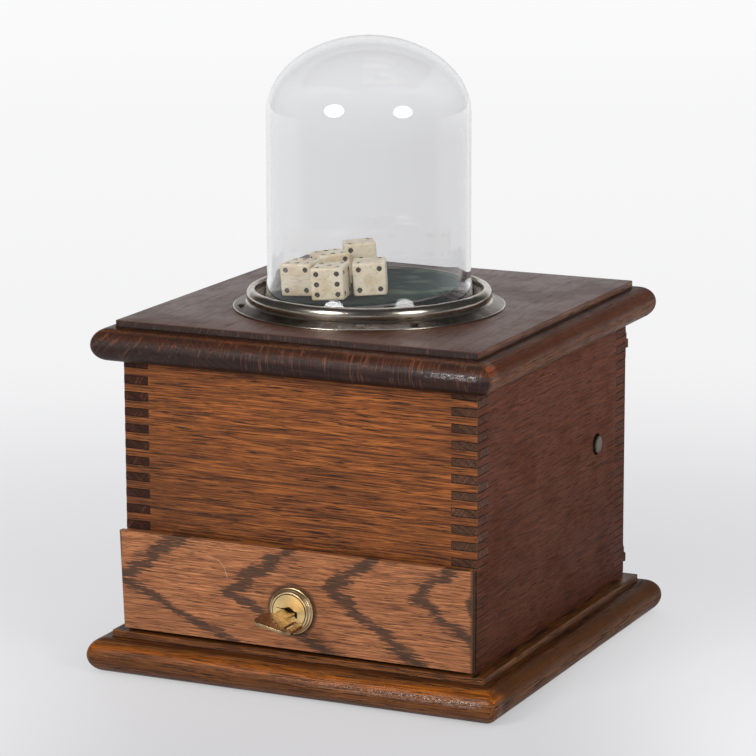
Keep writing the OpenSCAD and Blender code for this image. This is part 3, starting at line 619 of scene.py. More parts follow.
@dataclass(frozen=True)
class MetalFinish:
    """Colours and gloss of one metal."""

    clean: Colour
    dull: Colour
    roughness: float
    dull_roughness: float
    patch_scale: float = 90.0
    patches: float = 0.7
    scratch: float = 0.35


CASE_FRONT = OakFinish(
    (0.500, 0.155, 0.032), (0.262, 0.076, 0.017), (0.080, 0.025, 0.009), (0.080, 0.030, 0.018),
    (0.115, 0.040, 0.022), (0.33, 0.14, 0.06), shine=0.22, edge_width=0.8 * MM, wear=0.3, fine=1.7,
    pores=0.9, foot_shade=0.80, left_shade=0.76, end_shine=0.2,
)
CASE_SIDE = OakFinish(
    (0.176, 0.051, 0.023), (0.130, 0.037, 0.017), (0.072, 0.021, 0.010), (0.042, 0.017, 0.012),
    (0.062, 0.026, 0.017), (0.20, 0.09, 0.045), ray=(0.15, 0.055, 0.028), roughness=0.55, shine=0.05,
    edge_width=0.8 * MM, wear=0.3, fine=2.3, pores=0.48, foot_shade=0.68,
)
RIGHT_SIDE = replace(
    CASE_SIDE, end=(0.078, 0.038, 0.024), end_pale=(0.125, 0.060, 0.036), ray=(0.21, 0.10, 0.06)
)
CASE_BACK = replace(CASE_SIDE, end=(0.085, 0.030, 0.017), end_pale=(0.115, 0.042, 0.023))
TOP_OAK = OakFinish(
    (0.290, 0.098, 0.024), (0.165, 0.052, 0.015), (0.065, 0.022, 0.010), (0.034, 0.018, 0.015),
    (0.056, 0.026, 0.019), (0.20, 0.095, 0.05), ray=(0.150, 0.066, 0.042), roughness=0.42, shine=0.2,
    coat=0.24, fan=-0.05, rays=0.70, edge_width=0.7 * MM, wear=0.35, flecks=0.1, chips=0.3, fine=2.0,
    pores=0.6,
)
BASE_OAK = OakFinish(
    (0.220, 0.078, 0.016), (0.132, 0.045, 0.010), (0.058, 0.020, 0.007), (0.100, 0.036, 0.015),
    (0.13, 0.05, 0.02), (0.36, 0.18, 0.08), roughness=0.40, shine=0.15, coat=0.12, edge_width=0.9 * MM,
    flecks=0.1, chips=0.35, fine=1.6, pores=0.95,
)
DRAWER_OAK = OakFinish(
    (0.600, 0.236, 0.091), (0.385, 0.138, 0.051), (0.165, 0.057, 0.022), (0.050, 0.024, 0.014),
    (0.07, 0.03, 0.018), (0.42, 0.20, 0.09), pore=(0.060, 0.026, 0.013), roughness=0.45, shine=0.3,
    edge_width=1.0 * MM, flecks=0.05, fine=2.4, pores=0.85, end_shine=0.1, wear=0.25, foot_shade=0.92,
)
PLAIN_WOOD = OakFinish(
    (0.46, 0.30, 0.16), (0.38, 0.235, 0.12), (0.27, 0.155, 0.075), (0.30, 0.18, 0.09),
    (0.34, 0.21, 0.11), (0.52, 0.37, 0.22), pore=(0.16, 0.09, 0.045), roughness=0.62, shine=0.2,
    flecks=0.1,
)
BRASS = MetalFinish((0.78, 0.60, 0.31), (0.36, 0.23, 0.09), 0.24, 0.50, patch_scale=150.0)
LOCK_BRASS = MetalFinish((0.74, 0.58, 0.34), (0.40, 0.28, 0.12), 0.30, 0.45, patch_scale=260.0, patches=0.5)
PLUG_BRASS = MetalFinish((0.86, 0.64, 0.30), (0.66, 0.46, 0.20), 0.46, 0.55, patch_scale=200.0, patches=0.5)
KEY_BRASS = MetalFinish((0.42, 0.29, 0.15), (0.20, 0.13, 0.075), 0.26, 0.45, patch_scale=110.0)
NICKEL = MetalFinish((0.63, 0.58, 0.505), (0.36, 0.285, 0.21), 0.20, 0.30, patch_scale=60.0, patches=0.6)
STEEL = MetalFinish((0.42, 0.42, 0.43), (0.20, 0.17, 0.15), 0.34, 0.55)
DARK_BRASS = MetalFinish((0.16, 0.075, 0.045), (0.07, 0.035, 0.025), 0.42, 0.62)
DULL_STEEL = MetalFinish((0.15, 0.135, 0.10), (0.07, 0.06, 0.042), 0.45, 0.6)
RUSTY = MetalFinish((0.17, 0.12, 0.09), (0.075, 0.038, 0.026), 0.4, 0.7, patches=0.9)
SPECIAL_METALS = {
    "hinge_eyes": ("dark_brass", DARK_BRASS),
    "hinge_pintles": ("dark_brass", DARK_BRASS),
    "push_rod": ("dull_steel", DULL_STEEL),
    "ring_screws": ("rusty_screws", RUSTY),
    "lock_housing": ("lock_brass", LOCK_BRASS),
    "key": ("key_brass", KEY_BRASS),
}
SPRING_STEEL = MetalFinish((0.30, 0.31, 0.34), (0.14, 0.12, 0.12), 0.30, 0.5)


class Finishes:
    """Makes materials, all from the same few shared effects."""

    def __init__(self) -> None:
        """Make the shared effects."""
        self.grain = make_grain_group()
        self.ends = make_end_group()
        self.edges = make_edge_group()
        self.smudges = make_smudge_group()
        self.made: dict[str, Material] = {}

    def start(self, name: str) -> tuple[Material, Graph, bpy.types.Node, bpy.types.Node]:
        """Make an empty material.

        Args:
            name: The material's name.

        Returns:
            The material, its graph, its shader and its texture coordinates.
        """
        material = bpy.data.materials.new(name)
        material.use_nodes = True
        graph = Graph(material.node_tree)
        shader = material.node_tree.nodes["Principled BSDF"]
        place = graph.node("TexCoord")
        return material, graph, shader, place

    def oak(
        self, node: str, axis: Axis, finish: OakFinish, extra: Callable | None = None, mitred: bool = False
    ) -> Material:
        """Make oak for one board, with its grain along an axis and its end grain on the end faces.

        Args:
            node: The board's CAD node, which gives its box.
            axis: The direction of the grain.
            finish: Colours and gloss.
            extra: A function of (graph, parts, surface) that changes the surface.
            mitred: Whether the board's two sides are mitred strips with their grain along Y.

        Returns:
            The material.
        """
        material, g, shader, place = self.start("oak_" + node)
        low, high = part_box(node)
        where = place.outputs["Object"]
        parts = g.split(where)
        seed = 0.37 * (1 + len(self.made))
        self.made[node] = material
        moved = [g.add(part, seed) for part in parts]
        along = g.join(*[moved[i] for i in axis.value])
        normal = g.split(place.outputs["Normal"])[axis.value[0]]
        end = g.step(g.plain(normal), 0.35, 0.65)
        if mitred:
            reach = [g.sub(g.plain(parts[i]), high[i]) for i in (0, 1)]
            side = g.math("GREATER_THAN", reach[0], reach[1])
            turned = g.join(*[moved[i] for i in Axis.Y.value])
            along = g.choose(side, along, turned)
            end = g.mul(end, 0.0)
        grain = g.use(self.grain, Vector=g.stretch(along, (finish.fine,) * 3))
        colour = g.mix(g.step(grain["Tone"], 0.40, 0.50), finish.dark, finish.mid)
        colour = g.mix(g.step(grain["Tone"], 0.49, 0.60), colour, finish.pale)
        shade = g.scale(g.streaks(along, (5.0, 17.0, 17.0), 3.0, 0.6), 0.72, 1.28)
        # Painted shade: darker towards the board's foot; also darker towards its left.
        shade = g.mul(shade, g.scale(g.step(parts[2], low.z, high.z), finish.foot_shade, 1.0))
        shade = g.mul(shade, g.scale(g.step(parts[0], low.x, 0.0), finish.left_shade, 1.0))
        colour = g.mix(1.0, colour, g.join(shade, shade, shade), "MULTIPLY")
        colour = g.mix(g.mul(grain["Flecks"], finish.flecks), colour, finish.worn)
        across, up = axis.value[1], axis.value[2]
        if finish.fan:
            lean = g.scale(g.step(parts[across], low[across], finish.fan * high[across]), 1.05, 0.0)
        else:
            lean = finish.lean
        level = g.sub(parts[up], (low[up] + high[up]) / 2)
        ends = g.use(self.ends, U=parts[across], V=level, Lean=lean)
        cross = g.mix(g.step(ends["Rings"], 0.4, 0.62), finish.end, finish.end_pale)
        cross = g.mix(g.mul(ends["Dots"], 0.55), cross, finish.pore)
        cross = g.mix(g.mul(ends["Rays"], finish.rays), cross, finish.ray)
        colour = g.mix(end, colour, cross)
        pores = g.mul(grain["Pores"], g.scale(end, finish.pores, 0.0))
        colour = g.mix(pores, colour, finish.pore)
        height = g.mul(grain["Height"], g.scale(end, 1.0, 0.3))
        height = g.sub(height, g.mul(ends["Dots"], g.scale(end, 0.0, 0.8)))
        marks = g.use(self.smudges, Vector=where, Patch_Scale=30.0)
        gloss = g.add(g.scale(marks["Patches"], -0.05, 0.08), g.scale(grain["Pores"], 0.0, 0.2))
        shine = g.scale(end, finish.shine, finish.shine * finish.end_shine)
        surface = Surface(colour, height, g.add(gloss, finish.roughness, clamp=True), shine, finish.coat)
        if extra:
            extra(g, parts, surface)
        colour, height = surface.colour, surface.height
        box = {"Vector": where, "Centre": (low + high) / 2, "Half": (high - low) / 2}
        wear = g.use(self.edges, **box, Width=finish.edge_width)["Mask"]
        colour = g.mix(g.mul(wear, finish.wear), colour, finish.worn)
        if finish.chips:
            rims = g.use(self.edges, **box, Width=9 * MM)["Mask"]
            spots = g.step(g.noise(where, 420.0, 4.0, 0.72), 0.68, 0.72)
            chip = g.mul(g.mul(spots, g.step(rims, 0.0, 0.3)), finish.chips)
            colour = g.mix(chip, colour, (0.42, 0.27, 0.17))
            height = g.sub(height, chip)
        colour = g.mix(g.mul(marks["Patches"], 0.15), colour, finish.pore)
        varnish = g.mul(g.noise(where, 1200.0, 3.0, 0.7), 2.0)
        g.fill(
            shader,
            Base_Color=colour, Roughness=surface.roughness, Specular_IOR_Level=surface.shine,
            Coat_Weight=surface.coat, Coat_IOR=surface.coat_index, Coat_Roughness=0.10,
            Coat_Normal=g.bump(g.add(varnish, height), 0.6, 0.14 * MM),
            Normal=g.bump(height, 0.6, 0.10 * MM),
        )
        return material

    def metal(
        self, name: str, finish: MetalFinish, centre: Vector | None = None, extra: Callable | None = None
    ) -> Material:
        """Make a worn metal.

        Args:
            name: The material's name.
            finish: Colours and gloss.
            centre: Where a turned piece's axis stands, for fine turning marks, or None.
            extra: A function of (graph, parts, surface) that changes the surface.

        Returns:
            The material.
        """
        if name in self.made:
            return self.made[name]
        material, g, shader, place = self.start(name)
        self.made[name] = material
        vector = place.outputs["Object"]
        marks = g.use(self.smudges, Vector=vector, Patch_Scale=finish.patch_scale)
        dull = g.mul(marks["Patches"], finish.patches)
        dull = g.add(dull, g.mul(marks["Specks"], 0.5), clamp=True)
        colour = g.mix(dull, finish.clean, finish.dull)
        streak = g.mul(marks["Scratches"], finish.scratch)
        colour = g.mix(streak, colour, tuple(min(1.0, c * 1.25) for c in finish.clean))
        height = g.sub(g.mul(g.noise(vector, 900.0, 3.0), 0.4), streak)
        if centre is not None:
            radius = g.length(g.stretch(g.vector("SUBTRACT", vector, centre), (1, 1, 0)))
            turning = g.noise(g.join(radius, 0.0, 0.0), 5200.0, 2.0)
            height = g.add(height, g.mul(turning, 0.5))
        spread = finish.dull_roughness - finish.roughness
        surface = Surface(colour, height, g.math("MULTIPLY_ADD", dull, spread, finish.roughness))
        if extra:
            extra(g, g.split(vector), surface)
        g.fill(
            shader,
            Base_Color=surface.colour, Metallic=1.0, Roughness=surface.roughness,
            Normal=g.bump(surface.height, 0.35, 0.05 * MM),
        )
        return material

    def felt(self) -> Material:
        """Make worn blue green felt with matted fibres and worn patches, painted light on its right part and
        painted shade over its front.

        Returns:
            The material.
        """
        material, g, shader, place = self.start("worn_felt")
        vector = place.outputs["Object"]
        hairs = g.noise(vector, 2300.0, 4.0, 0.7, 1.5)
        mats = g.noise(vector, 300.0, 4.0, 0.65, 0.8)
        worn = g.step(g.streaks(vector, (30.0, 62.0, 40.0), 4.0, 0.65), 0.49, 0.58)
        # Painted light: the felt's right part is lighter.
        right = g.step(g.split(vector)[0], -0.012, 0.030)
        colour = g.mix(g.step(mats, 0.40, 0.60), (0.003, 0.009, 0.009), (0.014, 0.034, 0.031))
        colour = g.mix(g.mul(right, 0.6), colour, (0.066, 0.108, 0.096))
        colour = g.mix(g.mul(worn, g.scale(right, 0.25, 0.6)), colour, (0.190, 0.230, 0.155))
        colour = g.mix(g.mul(g.step(hairs, 0.58, 0.70), 0.25), colour, (0.12, 0.16, 0.14))
        # Painted shade over the front of the felt.
        near = g.step(g.split(vector)[1], -0.030, -0.058)
        colour = g.mix(g.mul(near, 0.75), colour, (0.005, 0.012, 0.011))
        height = g.add(g.mul(mats, 0.8), hairs)
        g.fill(
            shader,
            Base_Color=colour, Roughness=0.95, Specular_IOR_Level=0.1, Sheen_Weight=0.015,
            Sheen_Roughness=0.5, Normal=g.bump(height, 0.9, 0.35 * MM),
        )
        return material

    def bone(self) -> Material:
        """Make yellowed bone with fine dark canals along one way, and dirt in patches.

        Returns:
            The material.
        """
        material, g, shader, place = self.start("old_bone")
        vector = place.outputs["Object"]
        lines = g.streaks(vector, (260.0, 1500.0, 1500.0), 3.0, 0.6)
        stain = g.noise(vector, 120.0, 4.0, 0.6)
        colour = g.mix(g.step(stain, 0.35, 0.7), (0.95, 0.85, 0.66), (0.80, 0.63, 0.40))
        colour = g.mix(g.mul(g.step(lines, 0.56, 0.66), 0.5), colour, (0.45, 0.31, 0.17))
        specks = g.step(g.noise(vector, 1500.0, 2.0), 0.70, 0.76)
        colour = g.mix(g.mul(specks, 0.5), colour, (0.20, 0.13, 0.08))
        g.fill(
            shader,
            Base_Color=colour, Roughness=g.scale(stain, 0.28, 0.5), Subsurface_Weight=0.12,
            Subsurface_Radius=(0.004, 0.0025, 0.0012), Subsurface_Scale=0.5,
            Normal=g.bump(lines, 0.25, 0.06 * MM),
        )
        return material

    def pip(self) -> Material:
        """Make the dark, dusty paint in the pips.

        Returns:
            The material.
        """
        material, g, shader, place = self.start("pip_paint")
        dust = g.noise(place.outputs["Object"], 1900.0, 3.0, 0.6)
        colour = g.mix(g.step(dust, 0.45, 0.75), (0.034, 0.022, 0.014), (0.15, 0.105, 0.07))
        g.fill(shader, Base_Color=colour, Roughness=0.7, Normal=g.bump(dust, 0.4, 0.05 * MM))
        return material

    def leather(self) -> Material:
        """Make the dark leather of the washer under the glass.

        Returns:
            The material.
        """
        material, g, shader, place = self.start("washer_leather")
        vector = place.outputs["Object"]
        cells = g.node("TexVoronoi", {"feature": "DISTANCE_TO_EDGE"}, Vector=vector, Scale=900.0)
        patch = g.noise(vector, 140.0, 3.0)
        colour = g.mix(patch, (0.050, 0.028, 0.017), (0.11, 0.062, 0.036))
        g.fill(
            shader,
            Base_Color=colour, Roughness=g.scale(patch, 0.5, 0.75),
            Normal=g.bump(cells.outputs[0], 0.5, 0.15 * MM),
        )
        return material

    def glass(self) -> Material:
        """Make clear old glass with faint waves, dust and fine wear; light passes to what it covers. Its
        colour holds painted shade, darker to the right, and painted light, paler over the crown.

        Returns:
            The material.
        """
        material, g, shader, place = self.start("blown_glass")
        vector = place.outputs["Object"]
        waves = g.streaks(vector, (9.0, 9.0, 5.0), 1.0)
        specks = g.use(self.smudges, Vector=vector, Patch_Scale=40.0)
        across, _, up = g.split(vector)
        # Painted shade darkens the glass to the right; painted light makes it paler over the crown.
        share = g.step(across, -ACROSS_GLASS, ACROSS_GLASS)
        tone = g.mix(share, (0.892, 0.894, 0.902), (0.842, 0.842, 0.850))
        g.fill(
            shader,
            Base_Color=g.mix(g.step(up, *CROWN_LIGHT), tone, (0.930, 0.932, 0.940)),
            Roughness=g.mul(specks["Specks"], 0.10), IOR=1.48, Transmission_Weight=1.0,
            Normal=g.bump(waves, 0.25, 1.0 * MM),
        )
        clear = g.node("BsdfTransparent", Color=(0.97, 0.975, 0.97, 1.0))
        path = g.node("LightPath")
        through = g.most(path.outputs["Is Shadow Ray"], path.outputs["Is Diffuse Ray"])
        g.blend(through, shader, clear)
        return material


# Details that one board has and others don't


def line_mask(
    g: Graph, flat: object, lines: tuple, wobble: float = 0.0, soft: float = 0.45
) -> Socket:
    """A mask of straight lines on a plane.

    Args:
        g: The material's graph.
        flat: The shaded point on that plane.
        lines: (start, end, half width) of each line.
        wobble: How far the lines' edges wander.
        soft: The soft rim's share of the half width.

    Returns:
        The mask.
    """
    noise = g.mul(g.sub(g.noise(flat, 420.0, 2.0), 0.5), wobble)
    mask = None
    for start, end, half in lines:
        way = end - start
        offset = g.vector("SUBTRACT", flat, start)
        share = g.div(g.vector("DOT_PRODUCT", offset, way), way.length_squared, clamp=True)
        spot = g.stretch(g.join(share, share, share), way)
        away = g.length(g.vector("SUBTRACT", offset, spot))
        line = g.step(g.add(away, noise), half * (1 + soft), half * (1 - soft))
        mask = line if mask is None else g.most(mask, line)
    return mask


def paint(g: Graph, surface: Surface, share: object, colour: Colour, how: str = "MIX") -> None:
    """Mix a colour into the surface, by a share from 0 to 1."""
    surface.colour = g.mix(share, surface.colour, colour, how)


def blacken(
    g: Graph, surface: Surface, mask: object, depth: float, colour: Colour = (0.010, 0.006, 0.005)
) -> None:
    """Sink a mask into the surface as a dark line or gap."""
    paint(g, surface, mask, colour)
    surface.height = g.sub(surface.height, g.mul(mask, depth))


def tint(g: Graph, surface: Surface, share: object, colour: Colour) -> None:
    """Multiply the surface's colour, by a share from 0 to 1."""
    paint(g, surface, share, colour, "MULTIPLY")


def band(g: Graph, value: object, *levels: float) -> Socket:
    """A mask that rises between the first two levels and falls between the last two."""
    return g.mul(g.step(value, levels[0], levels[1]), g.step(value, levels[3], levels[2]))


def round_details(g: Graph, board: Moulding, low: float, parts: list, surface: Surface) -> None:
    """Painted light and shade on a board's round: painted shade under it, over its lower half and in the
    crease over it, painted light along its upper part, and amber, duller polish at the sides.

    Args:
        g: The material's graph.
        board: The moulding.
        low: Height of the board's underside.
        parts: X, Y and Z of the shaded point.
        surface: The surface to change.
    """
    up = g.div(g.sub(parts[2], low), board.round_height)
    sway = g.sub(g.noise(g.join(*parts), 45.0, 3.0), 0.5)
    up_there = g.math("MULTIPLY_ADD", sway, 0.30, up)
    # Painted shade under the round and over its lower half.
    tint(g, surface, g.step(up, 0.24, 0.04), (0.35, 0.28, 0.25))
    tint(g, surface, g.step(up_there, 0.62, 0.45), (0.74, 0.74, 0.80))
    # Painted light: a lighter, more amber band along the round's upper part.
    tint(g, surface, band(g, up_there, 0.60, 0.74, 0.84, 0.94), board.lit_band)
    # Painted shade in the crease between the round and the raised face.
    tint(g, surface, band(g, up, 0.93, 0.985, 1.01, 1.06), board.rim)
    beside = g.step(g.plain(parts[0]), board.side - 2 * MM, board.side)
    beside = g.mul(beside, g.step(parts[1], *SIDES_FROM))
    amber = g.mul(band(g, up_there, 0.50, 0.60, 0.94, 1.0), beside)
    paint(g, surface, g.mul(amber, 0.85), board.amber)
    dull = g.scale(g.step(up_there, 0.62, 0.45), 1.0, 0.45)
    dull = g.mul(dull, g.scale(beside, 1.0, 0.45))
    surface.shine = g.mul(surface.shine, dull)
    surface.coat = g.mul(surface.coat, dull)


def lamp_shine(
    g: Graph, board: Moulding, low: float, parts: list, start: float, full: float
) -> Socket:
    """Return a mask of the speckled line of thick old varnish along the front of a round.

    Args:
        g: The material's graph.
        board: The moulding.
        low: Height of the board's underside.
        parts: X, Y and Z of the shaded point.
        start: The X at which it begins.
        full: The X from which it is thickest.

    Returns:
        The mask.
    """
    up = g.div(g.sub(parts[2], low), board.round_height)
    line = band(g, up, 0.44, 0.54, 0.62, 0.71)
    line = g.mul(line, g.step(parts[1], *ROUND_FRONT))
    line = g.mul(line, g.step(parts[0], start, full))
    line = g.mul(line, g.step(parts[0], board.side + 4.0 * MM, board.side + 1.0 * MM))
    speckle = g.streaks(g.join(*parts), (500.0, 900.0, 900.0), 3.0, 0.7)
    return g.mul(line, g.step(speckle, 0.36, 0.56))


def top_details(g: Graph, parts: list, surface: Surface) -> None:
    """The top board's dark, smooth face with its two short cracks, and the varnish of its round.

    Args:
        g: The material's graph.
        parts: X, Y and Z of the shaded point.
        surface: The surface to change.
    """
    x, y, z = parts
    round_details(g, TOP_MOULDING, CASE_TOP, parts, surface)
    face = g.step(z, FACE_HEIGHT - 0.5 * MM, FACE_HEIGHT - 0.2 * MM)
    paint(g, surface, g.mul(face, 0.90), (0.104, 0.040, 0.023))
    surface.shine = g.mul(surface.shine, g.scale(face, 1.0, 0.9))
    lamp = lamp_shine(g, TOP_MOULDING, CASE_TOP, parts, *TOP_LAMP)
    surface.coat = g.mul(g.most(lamp, surface.coat), g.scale(face, 1.0, 0.75))
    surface.coat_index = g.scale(lamp, 1.5, 2.5)
    surface.height = g.mul(surface.height, g.scale(face, 1.0, 0.35))
    flat = g.join(x, y, 0.0)
    mask = line_mask(g, flat, [(start, end, 0.4 * MM) for start, end in CRACKS], 1.6 * MM, 0.6)
    blacken(g, surface, mask, 3.0)


def base_details(g: Graph, parts: list, surface: Surface) -> None:
    """The base board's varnish, glossier along the front, painted light on its front and its riser, and dirt
    at the case's foot.

    Args:
        g: The material's graph.
        parts: X, Y and Z of the shaded point.
        surface: The surface to change.
    """
    round_details(g, BASE_MOULDING, 0.0, parts, surface)
    lamp = lamp_shine(g, BASE_MOULDING, 0.0, parts, *BASE_LAMP)
    front = g.step(parts[1], *BASE_FRONT)
    surface.coat = g.most(surface.coat, g.most(lamp, g.mul(front, 0.2)))
    surface.coat_index = g.scale(lamp, 1.5, 2.3)
    # Painted light: the front of the base is made lighter than its sides.
    tint(g, surface, front, (1.40, 1.36, 1.42))
    # Painted light: the riser under the drawer is made paler.
    riser = g.mul(g.step(parts[1], *RISER_FRONT), g.step(parts[2], *RISER_UP))
    tint(g, surface, riser, (1.45, 1.35, 1.30))
    side = g.sub(g.plain(parts[0]), SIDE_FACE)
    dirt = g.streaks(g.join(*parts), (300.0, 60.0, 60.0), 3.0, 0.6)
    foot = g.mul(band(g, side, -0.5 * MM, 0.0, 1.2 * MM, 3.4 * MM), g.step(dirt, 0.40, 0.58))
    foot = g.mul(foot, g.step(parts[2], BASE_FACE - 0.3 * MM, BASE_FACE - 0.1 * MM))
    blacken(g, surface, foot, 0.5, (0.016, 0.011, 0.008))


def flange_reflection(g: Graph, parts: list, surface: Surface) -> None:
    """The ring's flange, painted brown inside a bright edge as a painted reflection of the wood round it.

    Args:
        g: The material's graph.
        parts: X, Y and Z of the shaded point.
        surface: The surface to change.
    """
    reach = g.length(g.join(parts[0], g.add(parts[1], DOME_FORWARD), 0.0))
    # Painted reflection: the flange is painted brown where it mirrors the wood, more so to the left.
    old = band(g, reach, 66.0 * MM, 66.9 * MM, 72.3 * MM, 72.65 * MM)
    leftward = g.scale(g.step(parts[0], 20 * MM, -40 * MM), 0.25, 0.55)
    rough = g.add(g.noise(g.join(*parts), 240.0, 4.0, 0.65), leftward)
    old = g.mul(old, rough, clamp=True)
    paint(g, surface, old, (0.110, 0.078, 0.056))
    surface.roughness = g.add(surface.roughness, g.mul(old, 0.10))


def keyway(g: Graph, parts: list, surface: Surface) -> None:
    """Painted shade in the keyway of the lock's plug and in the groove round its rim.

    Args:
        g: The material's graph.
        parts: X, Y and Z of the shaded point.
        surface: The surface to change.
    """
    flat = g.join(parts[0], 0.0, g.sub(parts[2], LOCK_HEIGHT))
    points = [Vector((x, 0.0, z)) * MM for x, z in KEYWAY]
    lines = [(points[i], points[i + 1], half * MM) for i, half in enumerate(KEYWAY_HALVES)]
    mask = line_mask(g, flat, lines, 0.3 * MM, 0.3)
    rim = g.step(g.length(flat), PLUG_RADIUS - 0.45 * MM, PLUG_RADIUS - 0.25 * MM)
    # Painted shade: the keyway and the groove round the plug are painted dark.
    blacken(g, surface, g.most(mask, rim), 2.0, (0.035, 0.018, 0.008))


def joint_lines(through: int) -> Callable:
    """Make the detail of a case board: thin dark lines round the fingers of its corner joints.

    Args:
        through: 0 or 1: the axis along which the ends of the board's own fingers begin.

    Returns:
        A function of (graph, parts, surface) that changes the surface.
    """

    def details(g: Graph, parts: list, surface: Surface) -> None:
        """Draw the lines.

        Args:
            g: The material's graph.
            parts: X, Y and Z of the shaded point.
            surface: The surface to change.
        """
        rows = g.div(g.sub(CASE_TOP, parts[2]), FINGER)
        off = g.plain(g.sub(g.math("FRACT", g.add(rows, 0.5)), 0.5))
        level = g.step(g.mul(off, FINGER), 0.42 * MM, 0.12 * MM)
        inner = [g.sub(g.plain(parts[i]), IN_HALF[i]) for i in (0, 1)]
        zone = g.mul(*[g.step(part, -0.05 * MM, 0.05 * MM) for part in inner])
        start = g.step(inner[through], 0.5 * MM, 0.15 * MM)
        rough = g.scale(g.noise(g.join(*parts), 330.0, 2.0), 0.35, 1.25)
        mask = g.mul(g.mul(zone, g.most(level, start)), rough, clamp=True)
        blacken(g, surface, mask, 1.0, (0.014, 0.008, 0.006))

    return details


@dataclass(frozen=True)
class Chevron:
    """One dark band of the drawer's figure: a V lying on its side, its point to the left."""

    x: float
    z: float
    upper: float
    lower: float
    width: float


CHEVRONS = (
    Chevron(-0.1020, 0.0525, 1.40, 2.30, 5.8 * MM),
    Chevron(-0.0370, 0.0510, 1.25, 2.20, 6.6 * MM),
    Chevron(0.0215, 0.0600, 1.35, 1.45, 6.2 * MM),
    Chevron(0.0720, 0.0610, 1.05, 1.40, 5.2 * MM),
    Chevron(0.1000, 0.0590, 1.20, 1.20, 4.4 * MM),
)
LOCK_RING = 13.2 * MM
SCRATCH = tuple(
    Vector((x, 0.0, z)) * MM for x, z in ((-50.0, 69.6), (-43.0, 68.0), (-39.5, 64.3), (-38.0, 59.0))
)


def drawer_figure(g: Graph, parts: list, surface: Surface) -> None:
    """Bold cathedral figure of the applied drawer front, with painted shade round the lock and at the ends,
    where the end grain is dark too.

    Args:
        g: The material's graph.
        parts: X, Y and Z of the shaded point.
        surface: The surface to change.
    """
    x, _, z = parts
    flat = g.join(x, 0.0, z)
    sway = g.sub(g.noise(flat, 55.0, 2.0), 0.5)
    ragged = g.sub(g.streaks(flat, (40.0, 1.0, 900.0), 3.0, 0.7), 0.5)
    shift = g.add(g.mul(sway, 20 * MM), g.mul(ragged, 36 * MM))
    moved = g.add(x, shift)
    mask = None
    for mark in CHEVRONS:
        rise = g.sub(z, mark.z)
        up = g.mul(g.most(rise, 0.0), mark.upper)
        down = g.mul(g.most(g.mul(rise, -1.0), 0.0), mark.lower)
        line = g.add(g.add(up, down), mark.x)
        gap = g.plain(g.sub(moved, line))
        stripe = g.step(gap, 1.10 * mark.width, 0.75 * mark.width)
        mask = stripe if mask is None else g.most(mask, stripe)
    streaks = g.streaks(flat, (55.0, 1.0, 1300.0), 3.0, 0.7)
    mask = g.mul(mask, g.step(streaks, 0.27, 0.45))
    blacken(g, surface, g.mul(mask, 0.90), 0.3, (0.058, 0.028, 0.016))
    strokes = [(start, end, 0.22 * MM) for start, end in zip(SCRATCH, SCRATCH[1:])]
    paint(g, surface, g.mul(line_mask(g, flat, strokes, 0.3 * MM), 0.5), (0.62, 0.40, 0.24))
    # Painted shade round the lock, and at the ends of the drawer front, where it joins their dark end grain.
    reach = g.length(g.join(x, 0.0, g.sub(z, LOCK_HEIGHT)))
    lock_shade = g.step(reach, LOCK_RING + 2.2 * MM, LOCK_RING)
    edge = g.step(g.plain(x), SIDE_FACE - 1.0 * MM, SIDE_FACE)
    blacken(g, surface, g.mul(g.most(lock_shade, edge), 0.75), 0.5, (0.040, 0.020, 0.011))


# Meshes


@dataclass
class Shape:
    """A mesh under construction."""

    points: list = field(default_factory=list)
    faces: list = field(default_factory=list)
    slots: list = field(default_factory=list)

    def grid(self, rows: np.ndarray, wrap: bool = True, slot: int = 0, closed: bool = False) -> None:
        """Add a sheet of quads through rows of points.

        Args:
            rows: Points, as (rows, columns, 3).
            wrap: Whether each row closes on itself.
            slot: The faces' material slot, or an array of one per face.
            closed: Whether the last row joins the first.
        """
        count, width = rows.shape[:2]
        base = len(self.points)
        self.points.extend(rows.reshape(-1, 3).tolist())
        i = np.arange(count if closed else count - 1)[:, None]
        j = np.arange(width if wrap else width - 1)[None, :]
        k, m = (i + 1) % count, (j + 1) % width
        quads = np.stack([i * width + j, i * width + m, k * width + m, k * width + j], -1)
        quads = quads.reshape(-1, 4) + base
        self.faces.extend(quads.tolist())
        self.slots.extend(np.broadcast_to(np.asarray(slot).reshape(-1), len(quads)).tolist())

    def cap(self, ring: np.ndarray, up: bool) -> None:
        """Close a ring of points with one face.

        Args:
            ring: Points, counterclockwise as seen from above.
            up: Whether the face looks up.
        """
        base = len(self.points)
        self.points.extend(ring.tolist())
        order = list(range(base, base + len(ring)))
        self.faces.append(order if up else order[::-1])
        self.slots.append(0)

    def build(self, name: str, materials: list, sharp: float) -> bpy.types.Object:
        """Turn the shape into an object with smooth shading.

        Args:
            name: The object's name.
            materials: One material per slot.
            sharp: Angle in degrees from which an edge stays sharp.

        Returns:
            The object.
        """
        mesh = bpy.data.meshes.new(name)
        mesh.from_pydata(self.points, [], self.faces)
        for material in materials:
            mesh.materials.append(material)
        mesh.polygons.foreach_set("material_index", self.slots)
        work = bmesh.new()
        work.from_mesh(mesh)
        bmesh.ops.remove_doubles(work, verts=work.verts, dist=0.002 * MM)
        bmesh.ops.recalc_face_normals(work, faces=work.faces)
        work.to_mesh(mesh)
        work.free()
        mesh.shade_smooth()
        mesh.set_sharp_from_angle(angle=math.radians(sharp))
        thing = bpy.data.objects.new(name, mesh)
        bpy.context.scene.collection.objects.link(thing)
        return thing


